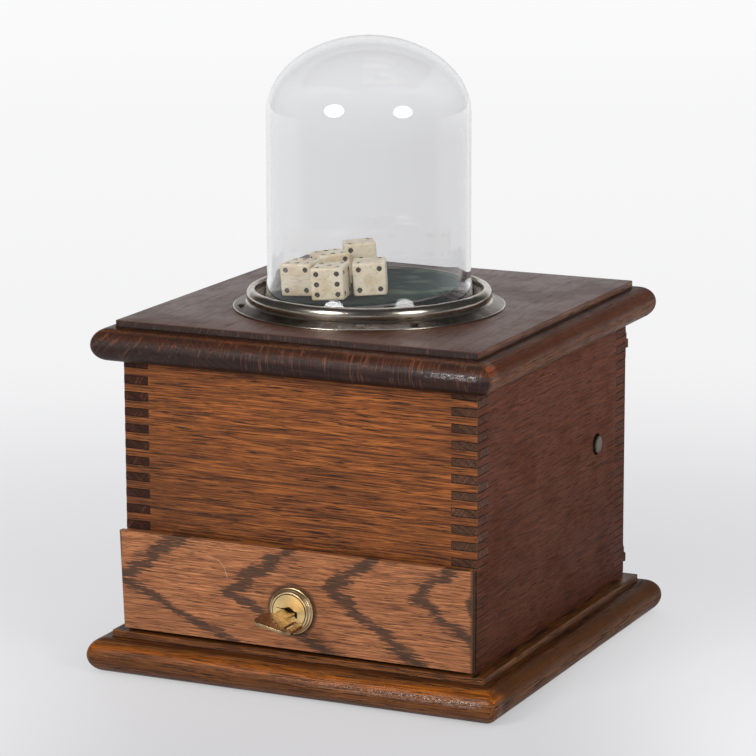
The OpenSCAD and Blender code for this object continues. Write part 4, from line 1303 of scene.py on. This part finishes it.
def lathe(profile: list[tuple[float, float]], centre: Vector, segments: int) -> np.ndarray:
    """Points of a profile turned about a vertical axis: radius times cosine and sine, height unchanged.

    Args:
        profile: (radius, height) points.
        centre: The axis, with the height's zero.
        segments: Points round the axis.

    Returns:
        Points, as (profile, segments, 3).
    """
    angle = np.linspace(0, 2 * math.pi, segments, endpoint=False)
    radius, height = np.array(profile).T[..., None]
    level = np.broadcast_to(height + centre.z, (len(profile), segments))
    return np.stack([radius * np.cos(angle) + centre.x, radius * np.sin(angle) + centre.y, level], -1)


def arc(x: float, z: float, radius: float, start: float, end: float, count: int) -> list[tuple[float, float]]:
    """Points of an arc of a profile, from one angle to another in degrees."""
    angles = np.radians(np.linspace(start, end, count))
    return [(x + radius * math.cos(a), z + radius * math.sin(a)) for a in angles]


def frame_outline(half: tuple[float, float], corner: float, side: int = 56, turn: int = 7) -> np.ndarray:
    """Points round a rectangle with rounded corners, counterclockwise.

    Args:
        half: Half of its width and depth.
        corner: Radius of its corners.
        side: Points along each side.
        turn: Points round each corner.

    Returns:
        Points, as (count, 2).
    """
    inner = np.array(half) - corner
    signs = ((1, 1), (-1, 1), (-1, -1), (1, -1))
    points = []
    for quarter in range(4):
        angles = math.pi / 2 * (quarter + np.linspace(0, 1, turn))
        sign, following = signs[quarter], signs[(quarter + 1) % 4]
        arc_points = inner * sign + corner * np.stack([np.cos(angles), np.sin(angles)], -1)
        points.extend(arc_points)
        last = arc_points[-1]
        first = inner * following + corner * np.array([math.cos(angles[-1]), math.sin(angles[-1])])
        shares = np.linspace(0, 1, side + 2)[1:-1, None]
        points.extend(last + (first - last) * shares)
    return np.array(points)


def moulding_profile(board: Moulding) -> list[tuple[float, float, float]]:
    """Points of a moulded edge, from the underside to the raised face.

    The round is a half circle from under to over, and the fillet and the face's edge are quarter circles.
    The corner's radius grows evenly with the reach over the round.

    Args:
        board: The moulding.

    Returns:
        (reach, height, corner radius) of each point.
    """
    round_r, thick = board.round_height / 2, board.round_height + board.step
    middle = board.reach - round_r
    points = [(middle - 2 * MM, 0.0, 1.0 * MM)]
    for out, up in arc(middle, round_r, round_r, -90, 90, 17):
        points.append((out, up, (1.0 + 3.2 * (out - middle) / round_r) * MM))
    ledge, fillet, edge = board.round_height, 0.7 * MM, 0.3 * MM
    for out, up in arc(board.face_reach + fillet, ledge + fillet, fillet, 270, 180, 5):
        points.append((out, up, 0.6 * MM))
    for out, up in arc(board.face_reach - edge, thick - edge, edge, 0, 90, 5):
        points.append((out, up, 0.6 * MM))
    return points


class Bench:
    """What the makers of all sub-assemblies share: the frame, the finishes and a few places."""

    def __init__(self, frame: dict) -> None:
        """Read the places that the sub-assemblies go by.

        Args:
            frame: What the CAD frame holds.
        """
        self.nodes = frame["nodes"]
        self.finishes = Finishes()
        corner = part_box("right_side")[1]
        self.half_w, self.half_d = corner.x, corner.y
        self.face_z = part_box("top_board")[1].z
        ring_low, ring_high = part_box("dome_ring")
        self.dome = Vector((0, (ring_low.y + ring_high.y) / 2, self.face_z))
        bodies = frame["record"]["behaviour"]["bodies"]
        self.body_of = {node: body for body, members in bodies.items() for node in members}
        self.slot_of = {piece["node"]: piece["material_slot"] for piece in frame["record"]["subparts"]}

    def adopt(self, thing: bpy.types.Object, node: str) -> bpy.types.Object:
        """Let a piece stand for a CAD node and ride on its body.

        Args:
            thing: The piece.
            node: The CAD node.

        Returns:
            The piece.
        """
        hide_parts(node)
        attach(thing, self.body_of[node])
        log.info("%s stands for %s on %s", thing.name, node, self.body_of[node])
        return thing

    def worn_copy(self, node: str, material: Material, width: float) -> None:
        """Rebuild a CAD node with its edges rounded by wear.

        Args:
            node: The CAD node.
            material: The piece's material.
            width: Width of the rounding.
        """
        work = bmesh.new()
        work.from_mesh(self.nodes[node].data)
        bmesh.ops.remove_doubles(work, verts=work.verts, dist=0.001 * MM)
        bmesh.ops.dissolve_limit(work, angle_limit=math.radians(0.6), verts=work.verts, edges=work.edges)
        limit = math.radians(28)
        edges = [edge for edge in work.edges if edge.is_manifold and edge.calc_face_angle(0) > limit]
        bmesh.ops.bevel(
            work, geom=edges, offset=width, offset_type="OFFSET", segments=2, profile=0.5,
            affect="EDGES", clamp_overlap=True,
        )
        mesh = bpy.data.meshes.new(node + "_worn")
        work.to_mesh(mesh)
        work.free()
        for polygon in mesh.polygons:
            polygon.material_index = 0
        mesh.materials.append(material)
        mesh.shade_smooth()
        mesh.set_sharp_from_angle(angle=math.radians(38))
        thing = bpy.data.objects.new(node + "_worn", mesh)
        bpy.context.scene.collection.objects.link(thing)
        tidy = thing.modifiers.new("even_normals", "WEIGHTED_NORMAL")
        tidy.keep_sharp = True
        self.adopt(thing, node)


@dataclass
class Case:
    """The case with its drawer and rear door, between the two moulded boards."""

    bench: Bench
    joint_wear: float = 0.22 * MM
    door_wear: float = 0.6 * MM
    front_wear: float = 0.45 * MM
    plain_wear: float = 0.4 * MM
    well_radius: float = 49.6 * MM

    def moulded_board(self, board: Moulding, well: bool, material: Material) -> None:
        """Make a moulded board with worn corners and slightly uneven rounds.

        The profile is carried round a rectangle with rounded corners, and its round is shrunk by up to
        0.12 percent, by the sum of two crossed sine waves. A well is a circle at the same angles.

        Args:
            board: The moulding.
            well: Whether the board has the well's hole.
            material: The board's material.
        """
        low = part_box(board.node)[0]
        rings = []
        for out, up, corner in moulding_profile(board):
            half = (self.bench.half_w + out, self.bench.half_d + out + board.further)
            flat = frame_outline(half, corner)
            rings.append(np.column_stack([flat, np.full(len(flat), low.z + up)]))
        rings = np.array(rings)
        x, y = rings[..., 0], rings[..., 1]
        uneven = np.sin(x * 61 + y * 47) + np.sin(x * 173 - y * 139)
        rings[1:18, :, :2] *= (1 - 0.0006 * (1 + uneven[1:18] / 2))[..., None]
        shape = Shape()
        shape.grid(rings)
        for ring, up in ((rings[0], False), (rings[-1], True)):
            if well:
                middle = self.bench.dome
                angle = np.arctan2(ring[:, 1] - middle.y, ring[:, 0] - middle.x)
                hole = np.column_stack([
                    middle.x + self.well_radius * np.cos(angle),
                    middle.y + self.well_radius * np.sin(angle),
                    ring[:, 2],
                ])
                shape.grid(np.array([ring, ring + (hole - ring) * 0.5, hole]))
                if up:
                    below = np.column_stack([hole[:, :2], np.full(len(hole), low.z)])
                    shape.grid(np.array([hole, below]))
            else:
                shape.cap(ring, up)
        self.bench.adopt(shape.build(board.node + "_moulded", [material], sharp=50), board.node)

    def boards(self) -> None:
        """Make the boards of the case, the drawer and the rear door."""
        oak = self.bench.finishes.oak
        for node, finish in (("left_side", CASE_SIDE), ("right_side", RIGHT_SIDE)):
            self.bench.worn_copy(node, oak(node, Axis.Y, finish, joint_lines(0)), self.joint_wear)
        for node, finish in (("front_panel", CASE_FRONT), ("back_panel", CASE_BACK)):
            self.bench.worn_copy(node, oak(node, Axis.X, finish, joint_lines(1)), self.joint_wear)
        self.bench.worn_copy("rear_door", oak("rear_door", Axis.Z, CASE_SIDE), self.door_wear)
        figured = oak("drawer_front", Axis.X, DRAWER_OAK, drawer_figure)
        self.bench.worn_copy("drawer_front", figured, self.front_wear)
        plain = {
            "drawer_shelf": Axis.X, "drawer_runners": Axis.Y, "corner_blocks": Axis.Z,
            "drawer_inner_front": Axis.X, "drawer_left": Axis.Y, "drawer_right": Axis.Y,
            "drawer_back": Axis.X, "drawer_bottom": Axis.X,
        }
        for node, axis in plain.items():
            self.bench.worn_copy(node, oak(node, axis, PLAIN_WOOD), self.plain_wear)

    def make(self) -> None:
        """Make the boards, then the moulded boards over and under them."""
        self.boards()
        oak = self.bench.finishes.oak
        self.moulded_board(TOP_MOULDING, True, oak("top_board", Axis.Y, TOP_OAK, top_details))
        self.moulded_board(BASE_MOULDING, False, oak("base_board", Axis.X, BASE_OAK, base_details, True))


@dataclass
class Dome:
    """The blown glass dome, the spun ring that holds it and the leather washer under it."""

    bench: Bench
    glass_thick: float = 2.5 * MM
    crown_height: float = 41.1 * MM
    foot_spread: float = 4 * MM
    foot_thick: float = 3 * MM
    flare_out: float = 2.9 * MM
    flare_height: float = 15.5 * MM
    washer_inner: float = 52.5 * MM

    def ring(self) -> None:
        """Make the dome's ring: a flange with a bright edge, a cove, a small bead and a rolled rim.

        Its profile is arcs joined by straight lines, the wall a part of an ellipse. Turned about the dome's
        axis, it dips by up to 0.12 mm where the sum of three sine waves of the angle is below zero.
        """
        low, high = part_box("dome_ring")
        rim, outer = high.z - self.bench.face_z, (high.x - low.x) / 2
        inner, roll, bulge = outer - 12.1 * MM, 1.8 * MM, 3.1 * MM
        crest, middle = inner + roll, 6.2 * MM
        wall = [
            (crest + bulge * math.cos(a), middle + (rim - middle) * math.sin(a))
            for a in np.radians(np.linspace(-33, 90, 22))
        ]
        flange_top, flange_in = 3.1 * MM, crest + bulge + 0.5 * MM
        profile = [(outer - 1.8 * MM, 0.0), (outer - 0.1 * MM, 0.0)]
        profile += arc(outer - 0.45 * MM, 0.45 * MM, 0.45 * MM, -60, 70, 7)
        profile += [(flange_in + 0.55 * MM, flange_top - 0.12 * MM)]
        profile += arc(flange_in + 0.3 * MM, flange_top - 0.35 * MM, 0.35 * MM, 72, 150, 5)
        profile += wall
        profile += arc(crest, rim - roll, roll, 100, 180, 9)
        profile += [(inner, 4.9 * MM), (inner - 2.7 * MM, 4.9 * MM), (inner - 2.7 * MM, 4.1 * MM)]
        profile += [(inner + 0.8 * MM, 4.1 * MM), (inner + 0.8 * MM, rim - 2 * MM)]
        profile += [(crest + 1.2 * MM, rim - 2.2 * MM), (wall[0][0] - 0.9 * MM, middle)]
        profile += [(flange_in - 0.5 * MM, flange_top - 0.9 * MM)]
        rings = lathe(profile, self.bench.dome, 256)
        angle = np.arctan2(rings[..., 1] - self.bench.dome.y, rings[..., 0])
        dents = 0.07 * MM * (np.sin(5 * angle + 1) + np.sin(13 * angle) + np.sin(29 * angle + 2))
        rings[..., 2] += np.clip(dents, -0.12 * MM, 0.0)
        shape = Shape()
        shape.grid(rings, closed=True)
        metal = self.bench.finishes.metal("worn_nickel_ring", NICKEL, self.bench.dome, flange_reflection)
        self.bench.adopt(shape.build("dome_ring_spun", [metal], sharp=60), "dome_ring")

    def glass(self) -> None:
        """Make the blown dome with its wall, its flattened crown and its spread foot.

        The crown is a quarter of an ellipse outside and inside, and the foot's flare dies away upwards with
        the power 1.7. The profile is turned about the dome's axis.
        """
        low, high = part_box("glass_dome")
        foot, height = (high.x - low.x) / 2, high.z - low.z
        radius, inner = foot - self.foot_spread, foot - self.foot_spread - self.glass_thick
        spring, crown = height - self.crown_height, self.crown_height - self.glass_thick
        rise = np.linspace(0, 1, 16)
        climb = self.flare_height - self.foot_thick
        flare = [(self.flare_out * (1 - share) ** 1.7, self.foot_thick + climb * share) for share in rise]
        profile = [(inner + self.flare_out, 0.0), (foot - 1.2 * MM, 0.0)]
        profile += arc(foot - 1.4 * MM, 1.4 * MM, 1.4 * MM, -80, 80, 9)
        profile += [(radius + out, up) for out, up in flare]
        profile += [(radius, spring * share) for share in (0.3, 0.45, 0.6, 0.8)]
        turns = np.radians(np.linspace(0, 90, 40))
        profile += [(radius * math.cos(a), spring + self.crown_height * math.sin(a)) for a in turns[:-1]]
        profile += [(0.05 * MM, height), (0.05 * MM, height - self.glass_thick)]
        profile += [(inner * math.cos(a), spring + crown * math.sin(a)) for a in turns[-2::-1]]
        profile += [(inner, spring * share) for share in (0.8, 0.6, 0.45, 0.3)]
        profile += [(inner + out, up) for out, up in flare[::-1]]
        shape = Shape()
        shape.grid(lathe(profile, Vector((0, self.bench.dome.y, low.z)), 256), closed=True)
        glass = self.bench.finishes.glass()
        self.bench.adopt(shape.build("glass_dome_blown", [glass], sharp=70), "glass_dome")

    def washer(self) -> None:
        """Make the leather washer, squeezed a little unevenly.

        A flat ring with a half round rim, whose outer points are drawn in by up to 0.6 percent, by a product
        of two sine waves of the angle.
        """
        low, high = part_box("dome_washer")
        outer, inner, thick = (high.x - low.x) / 2, self.washer_inner, high.z - low.z
        edge = 0.4 * MM
        profile = [(inner, thick), (inner, 0.0), (outer - edge, 0.0)]
        profile += arc(outer - edge, thick / 2, thick / 2, -90, 90, 7)
        rings = lathe(profile, Vector((0, self.bench.dome.y, low.z)), 160)
        reach = np.hypot(rings[..., 0], rings[..., 1] - self.bench.dome.y)
        angle = np.arctan2(rings[..., 1] - self.bench.dome.y, rings[..., 0])
        squeeze = 1 - 0.003 * (reach > 55 * MM) * (1 + np.sin(9 * angle) * np.sin(4 * angle + 1))
        rings[..., 0] *= squeeze
        rings[..., 1] = self.bench.dome.y + (rings[..., 1] - self.bench.dome.y) * squeeze
        shape = Shape()
        shape.grid(rings, closed=True)
        leather = self.bench.finishes.leather()
        self.bench.adopt(shape.build("dome_washer_cut", [leather], sharp=50), "dome_washer")

    def make(self) -> None:
        """Make the ring, the glass and the washer."""
        self.ring()
        self.glass()
        self.washer()


@dataclass
class FeltedDisc:
    """The tilted disc's felt and the five dice that lie on it."""

    bench: Bench
    turn: float = math.radians(25.2)
    tilt: float = math.radians(3.86)
    disc_shift: float = 1.8 * MM
    felt_shift: float = 0.9 * MM
    height: float = 10.5 * MM
    felt_radius: float = 50.0 * MM
    felt_thick: float = 1.5 * MM
    over_felt: float = 0.3 * MM

    def place(self) -> Matrix:
        """Place the disc's tilted face: turned, tipped to the left and shifted along itself.

        Returns:
            The place, as a matrix.
        """
        return (
            Matrix.Translation(self.bench.dome + Vector((0, 0, self.height)))
            @ Matrix.Rotation(self.turn, 4, "Z")
            @ Matrix.Rotation(-self.tilt, 4, "Y")
            @ Matrix.Translation((-self.disc_shift, 0, 0))
        )

    def felt(self) -> None:
        """Make the felt with a wavy, cut edge and a matted face.

        Rings of growing radius, drawn in near the edge by a sum of sine waves of the angle, with lumps that
        are a product of sine waves of radius and angle, and a fall of 0.4 mm over the last three rings.
        """
        last = self.felt_radius / MM
        radii = np.concatenate([np.linspace(0.4, last - 1.2, 44), [last - 0.6, last - 0.25, last - 0.1]]) * MM
        angle = np.linspace(0, 2 * math.pi, 224, endpoint=False)
        wave = 1 - 0.004 * (1 + np.sin(7 * angle + 1) * np.sin(4 * angle) + 0.4 * np.sin(31 * angle))
        tops = []
        for index, radius in enumerate(radii):
            share = (radius / radii[-1]) ** 6
            reach = radius * (1 + (wave - 1) * share)
            lumps = 0.10 * MM * np.sin(reach * 420 + 3 * np.sin(2 * angle)) * np.sin(5 * angle + radius * 300)
            fall = (0.0, 0.12 * MM, 0.4 * MM)[max(0, index - len(radii) + 3)]
            height = np.full_like(angle, -0.12 * MM - fall) + lumps * (1 - share)
            tops.append(np.stack([reach * np.cos(angle), reach * np.sin(angle), height], -1))
        under = [ring.copy() for ring in (tops[-1], tops[0])]
        for ring in under:
            ring[:, 2] = -self.felt_thick
        shape = Shape()
        shape.grid(np.array(tops + under), closed=True)
        thing = shape.build("disc_felt_worn", [self.bench.finishes.felt()], sharp=60)
        thing.data.transform(self.place() @ Matrix.Translation((self.disc_shift - self.felt_shift, 0, 0)))
        self.bench.adopt(thing, "disc_felt")

    def die(self, die: Die, bone: Material, pip: Material) -> None:
        """Make one die: worn edges and corners, and drilled pips.

        Each side is a flat grid, snapped to the pips' rims and drawn in to the worn cube. The pips are then
        sunk as bowls whose depth falls with the square of the distance from their middle.

        Args:
            die: The die's place and its faces.
            bone: The material of the die.
            pip: The material of its pips.
        """
        half = DIE_EDGE / 2
        cells = 72
        across = np.linspace(-half, half, cells + 1)
        a, b = np.meshgrid(across, across)
        cell = across[1] - across[0]
        turns = ((0, 0, 0), (180, 0, 0), (90, 0, 0), (-90, 0, 0), (0, 90, 0), (0, -90, 0))
        shape = Shape()
        for (count, quarter), turn in zip(die.faces, turns):
            u, v, depth, inside = a.copy(), b.copy(), np.zeros_like(a), np.zeros_like(a, bool)
            for spot in pip_spots(count, quarter):
                du, dv = u - spot[0], v - spot[1]
                reach = np.hypot(du, dv)
                rim = np.abs(reach - PIP_RADIUS) < 0.55 * cell
                factor = np.where(rim, PIP_RADIUS / np.maximum(reach, 1e-9), 1.0)
                u, v = spot[0] + du * factor, spot[1] + dv * factor
                within = (reach < PIP_RADIUS) & ~rim
                depth = np.where(within, PIP_DEPTH * (1 - 0.35 * (reach / PIP_RADIUS) ** 2), depth)
                inside |= within | rim
            sides = worn_cube(np.stack([u, v, np.full_like(u, half)], -1), half)
            sides[..., 2] -= depth
            hole = inside[:-1, :-1] & inside[1:, :-1] & inside[:-1, 1:] & inside[1:, 1:]
            spin = (
                Matrix.Rotation(math.radians(turn[2]), 3, "Z")
                @ Matrix.Rotation(math.radians(turn[1]), 3, "Y")
                @ Matrix.Rotation(math.radians(turn[0]), 3, "X")
            )
            shape.grid(sides @ np.array(spin).T, wrap=False, slot=hole.astype(int))
        thing = shape.build(die.node + "_bone", [bone, pip], sharp=42)
        place = (
            self.place()
            @ Matrix.Translation((die.corner[0], die.corner[1], self.over_felt))
            @ Matrix.Rotation(math.radians(-die.turn), 4, "Z")
            @ Matrix.Translation((half, half, half))
        )
        thing.data.transform(place)
        self.bench.adopt(thing, die.node)

    def make(self) -> None:
        """Make the felt, then the dice."""
        self.felt()
        bone, pip = self.bench.finishes.bone(), self.bench.finishes.pip()
        for die in DICE:
            self.die(die, bone, pip)


@dataclass
class Metalwork:
    """The springs, the lock and every other metal piece."""

    bench: Bench
    wire: float = 0.5 * MM
    pitch: float = 0.55 * MM
    screw_wear: float = 0.12 * MM
    plug_wear: float = 0.2 * MM
    wear: float = 0.3 * MM

    def spring(self, node: str, joint: str, axis: Vector, anchor: Vector, keep: float) -> None:
        """Make a coil spring with closed ends in place of the CAD's coarse one.

        A circle carried along a helix that climbs slowly over its first and last turn, so they lie closed.

        Args:
            node: The CAD node.
            joint: The joint that squeezes it; not used.
            axis: The spring's direction.
            anchor: A point of its fixed end; not used.
            keep: The share of its length that is left at the end of the joint's travel; not used.
        """
        low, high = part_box(node)
        size = high - low
        along = max(range(3), key=lambda i: abs(axis[i]))
        wire, pitch = self.wire, self.pitch
        radius = min(size[i] for i in range(3) if i != along) / 2 - wire
        length = size[along] - 2 * wire
        turns, closed, steps = 8, 1, 24
        turned = turns * np.linspace(0, 1, turns * steps + 1)
        lift = np.interp(turned, [0, closed, turns - closed, turns], [0, pitch, length - pitch, length])
        centre = (low + high) / 2
        ring = np.linspace(0, 2 * math.pi, 9)[:-1]
        angle = 2 * math.pi * turned[:, None]
        out = radius + wire * np.cos(ring)
        up = lift[:, None] + wire + wire * np.sin(ring)
        rows = np.stack([out * np.cos(angle), out * np.sin(angle), up], -1)
        if along == 0:
            rows = rows[..., [2, 0, 1]]
            offset = np.array([low.x, centre.y, centre.z])
        else:
            offset = np.array([centre.x, centre.y, low.z])
        shape = Shape()
        shape.grid(rows + offset)
        metal = self.bench.finishes.metal("spring_steel", SPRING_STEEL)
        thing = self.bench.adopt(shape.build(node + "_coil", [metal], sharp=70), node)
        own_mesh(thing)

    def hardware(self) -> None:
        """Give every metal piece rounded edges and its own worn finish."""
        metals = {"brass": BRASS, "nickel": NICKEL, "steel": STEEL}
        special = {"dome_ring", "lock_plug"}
        plug = self.bench.finishes.metal("plug_brass", PLUG_BRASS, extra=keyway)
        self.bench.worn_copy("lock_plug", plug, self.plug_wear)
        for node, slot in self.bench.slot_of.items():
            if slot in metals and node not in special:
                width = self.screw_wear if "screws" in node else self.wear
                name, finish = SPECIAL_METALS.get(node, ("worn_" + slot, metals[slot]))
                self.bench.worn_copy(node, self.bench.finishes.metal(name, finish), width)

    def make(self) -> None:
        """Make the two springs, then the rest."""
        self.spring("rod_spring", "push_rod_slide", Vector((1, 0, 0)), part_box("rod_spring")[0], 0.77)
        self.spring("stem_spring", "popper_lift", Vector((0, 0, 1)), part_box("stem_spring")[1], 0.4)
        self.hardware()


def pip_spots(count: int, quarter: int) -> list[tuple[float, float]]:
    """Places of the pips on a face, turned by quarter turns.

    Args:
        count: How many pips the face has.
        quarter: How many quarter turns the pattern is turned.

    Returns:
        The pips' places on the face.
    """
    corners = [(-1, -1), (1, 1), (-1, 1), (1, -1)]
    spots = list(corners[: count - count % 2])
    if count % 2:
        spots.append((0, 0))
    if count == 6:
        spots = corners + [(-1, 0), (1, 0)]
    for _ in range(quarter):
        spots = [(-y, x) for x, y in spots]
    return [(x * PIP_SPREAD, y * PIP_SPREAD) for x, y in spots]


def worn_cube(points: np.ndarray, half: float) -> np.ndarray:
    """Pull points of a cube's side in to a cube with worn edges and more worn corners.

    A point keeps its nearest point of a smaller cube and lies 1.1 mm from that. Then nothing is farther
    from the middle than 1.62 times half an edge, which takes off the corners.

    Args:
        points: Points of one side.
        half: Half of the cube's edge.

    Returns:
        The points, moved.
    """
    edge = DIE_WEAR
    core = np.clip(points, edge - half, half - edge)
    out = points - core
    reach = np.maximum(np.linalg.norm(out, axis=-1, keepdims=True), 1e-9)
    worn = core + out / reach * edge
    distance = np.linalg.norm(worn, axis=-1, keepdims=True)
    return worn * np.minimum(1.0, CORNER_REACH * half / distance)


# Stage


def add_camera(pose: CameraPose) -> None:
    """Add the photograph's camera.

    Args:
        pose: Where it stands and how it looks.
    """
    turn, tilt = pose.yaw, pose.pitch
    back = Vector((
        math.sin(turn) * math.cos(tilt), -math.cos(turn) * math.cos(tilt), math.sin(tilt)
    ))
    right = (-back).cross(Vector((0, 0, 1))).normalized()
    up = right.cross(-back)
    c, s = math.cos(pose.roll), math.sin(pose.roll)
    axis_x, axis_y = c * right + s * up, -s * right + c * up
    data = bpy.data.cameras.new("photo_camera")
    data.sensor_fit = "HORIZONTAL"
    data.sensor_width = pose.sensor_mm
    data.lens = pose.sensor_mm * pose.focal_pixels / IMAGE_PIXELS
    data.clip_end = 50
    camera = bpy.data.objects.new("photo_camera", data)
    matrix = Matrix((axis_x, axis_y, back)).transposed().to_4x4()
    matrix.translation = pose.place
    camera.matrix_world = matrix
    bpy.context.scene.collection.objects.link(camera)
    bpy.context.scene.camera = camera


def add_light(box: SoftBox) -> None:
    """Add one soft box.

    Args:
        box: Its place and power.
    """
    data = bpy.data.lights.new(box.name, "AREA")
    data.shape = "DISK"
    data.size = LIGHT_WIDTH
    data.energy = box.power
    light = bpy.data.objects.new(box.name, data)
    light.location = box.place
    light.rotation_euler = (box.place - LIGHT_TARGET).to_track_quat("Z", "Y").to_euler()
    bpy.context.scene.collection.objects.link(light)


def add_floor() -> None:
    """Add a pale floor that sweeps into the white background behind the object; much of its brightness is
    painted light, a glow that is dimmer in front of the object and brighter to its sides and far back.
    """
    half, drop = 9.0, 0.05 * MM
    mesh = bpy.data.meshes.new("floor")
    corners = [(-half, -half), (half, -half), (half, half), (-half, half)]
    mesh.from_pydata([(x, y, -drop) for x, y in corners], [], [(0, 1, 2, 3)])
    material = bpy.data.materials.new("pale_floor")
    material.use_nodes = True
    g = Graph(material.node_tree)
    shader = material.node_tree.nodes["Principled BSDF"]
    place = g.node("TexCoord").outputs["Object"]
    away = g.vector("DOT_PRODUCT", place, BACKDROP_WAY)
    glow = g.mix(g.step(away, -0.42, 0.10), (0.56, 0.56, 0.575), (0.89, 0.89, 0.90))
    aside = g.vector("DOT_PRODUCT", place, ASIDE_WAY)
    right, left = g.step(aside, 0.06, 0.2), g.step(aside, -0.10, -0.28)
    bright = g.add(g.scale(right, 0.0, 0.88), g.scale(left, 0.0, 0.8))
    bright = g.mul(bright, g.step(away, 0.20, -0.16))
    bright = g.mul(bright, g.step(g.length(place), 0.90, 0.50))
    glow = g.mix(bright, glow, (1.1, 1.1, 1.115))
    glow = g.mix(g.step(away, 0.3, 1.8), glow, (0.925, 0.925, 0.93))
    glow = g.mix(g.step(away, 1.6, 3.4), glow, (0.96, 0.96, 0.962))
    g.fill(shader, Base_Color=(0.86, 0.86, 0.87, 1.0), Roughness=0.6, Specular_IOR_Level=0.2)
    # Painted light: the floor glows.
    lit = g.node("Emission", Color=glow, Strength=1.0)
    far = g.scale(g.step(g.length(place), 0.2, 0.8), 0.55, 1.0)
    g.blend(far, shader, lit)
    mesh.materials.append(material)
    floor = bpy.data.objects.new("floor", mesh)
    bpy.context.scene.collection.objects.link(floor)


def set_world() -> None:
    """Light the object softly, with a white sweep behind it and a dark studio on the camera's side."""
    world = bpy.data.worlds.new("studio")
    bpy.context.scene.world = world
    world.use_nodes = True
    g = Graph(world.node_tree)
    background = world.node_tree.nodes["Background"]
    path = g.node("LightPath")
    seen = g.most(path.outputs["Is Camera Ray"], path.outputs["Is Transmission Ray"])
    way = g.node("TexCoord").outputs["Generated"]
    height = g.split(way)[2]
    behind = g.step(g.vector("DOT_PRODUCT", way, BACKDROP_WAY), 0.70, 0.93)
    behind = g.mul(behind, g.step(height, 0.8, 0.45))
    room = g.mix(behind, (0.045, 0.045, 0.048), (0.80, 0.80, 0.81))
    lit = g.mix(path.outputs["Is Glossy Ray"], (0.50, 0.50, 0.52), room)
    g.feed(background.inputs["Color"], g.mix(seen, lit, (0.95, 0.95, 0.955)))


def main() -> None:
    """Build the dressed dice popper on the CAD frame."""
    logging.basicConfig(level=logging.INFO, format="%(message)s")
    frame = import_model()
    bench = Bench(frame)
    for sub_assembly in (Case(bench), Dome(bench), FeltedDisc(bench), Metalwork(bench)):
        sub_assembly.make()
    add_floor()
    set_world()
    add_camera(CAMERA)
    for box in SOFT_BOXES:
        add_light(box)
    bpy.context.scene.view_settings.view_transform = "Standard"


if __name__ == "__main__":
    main()
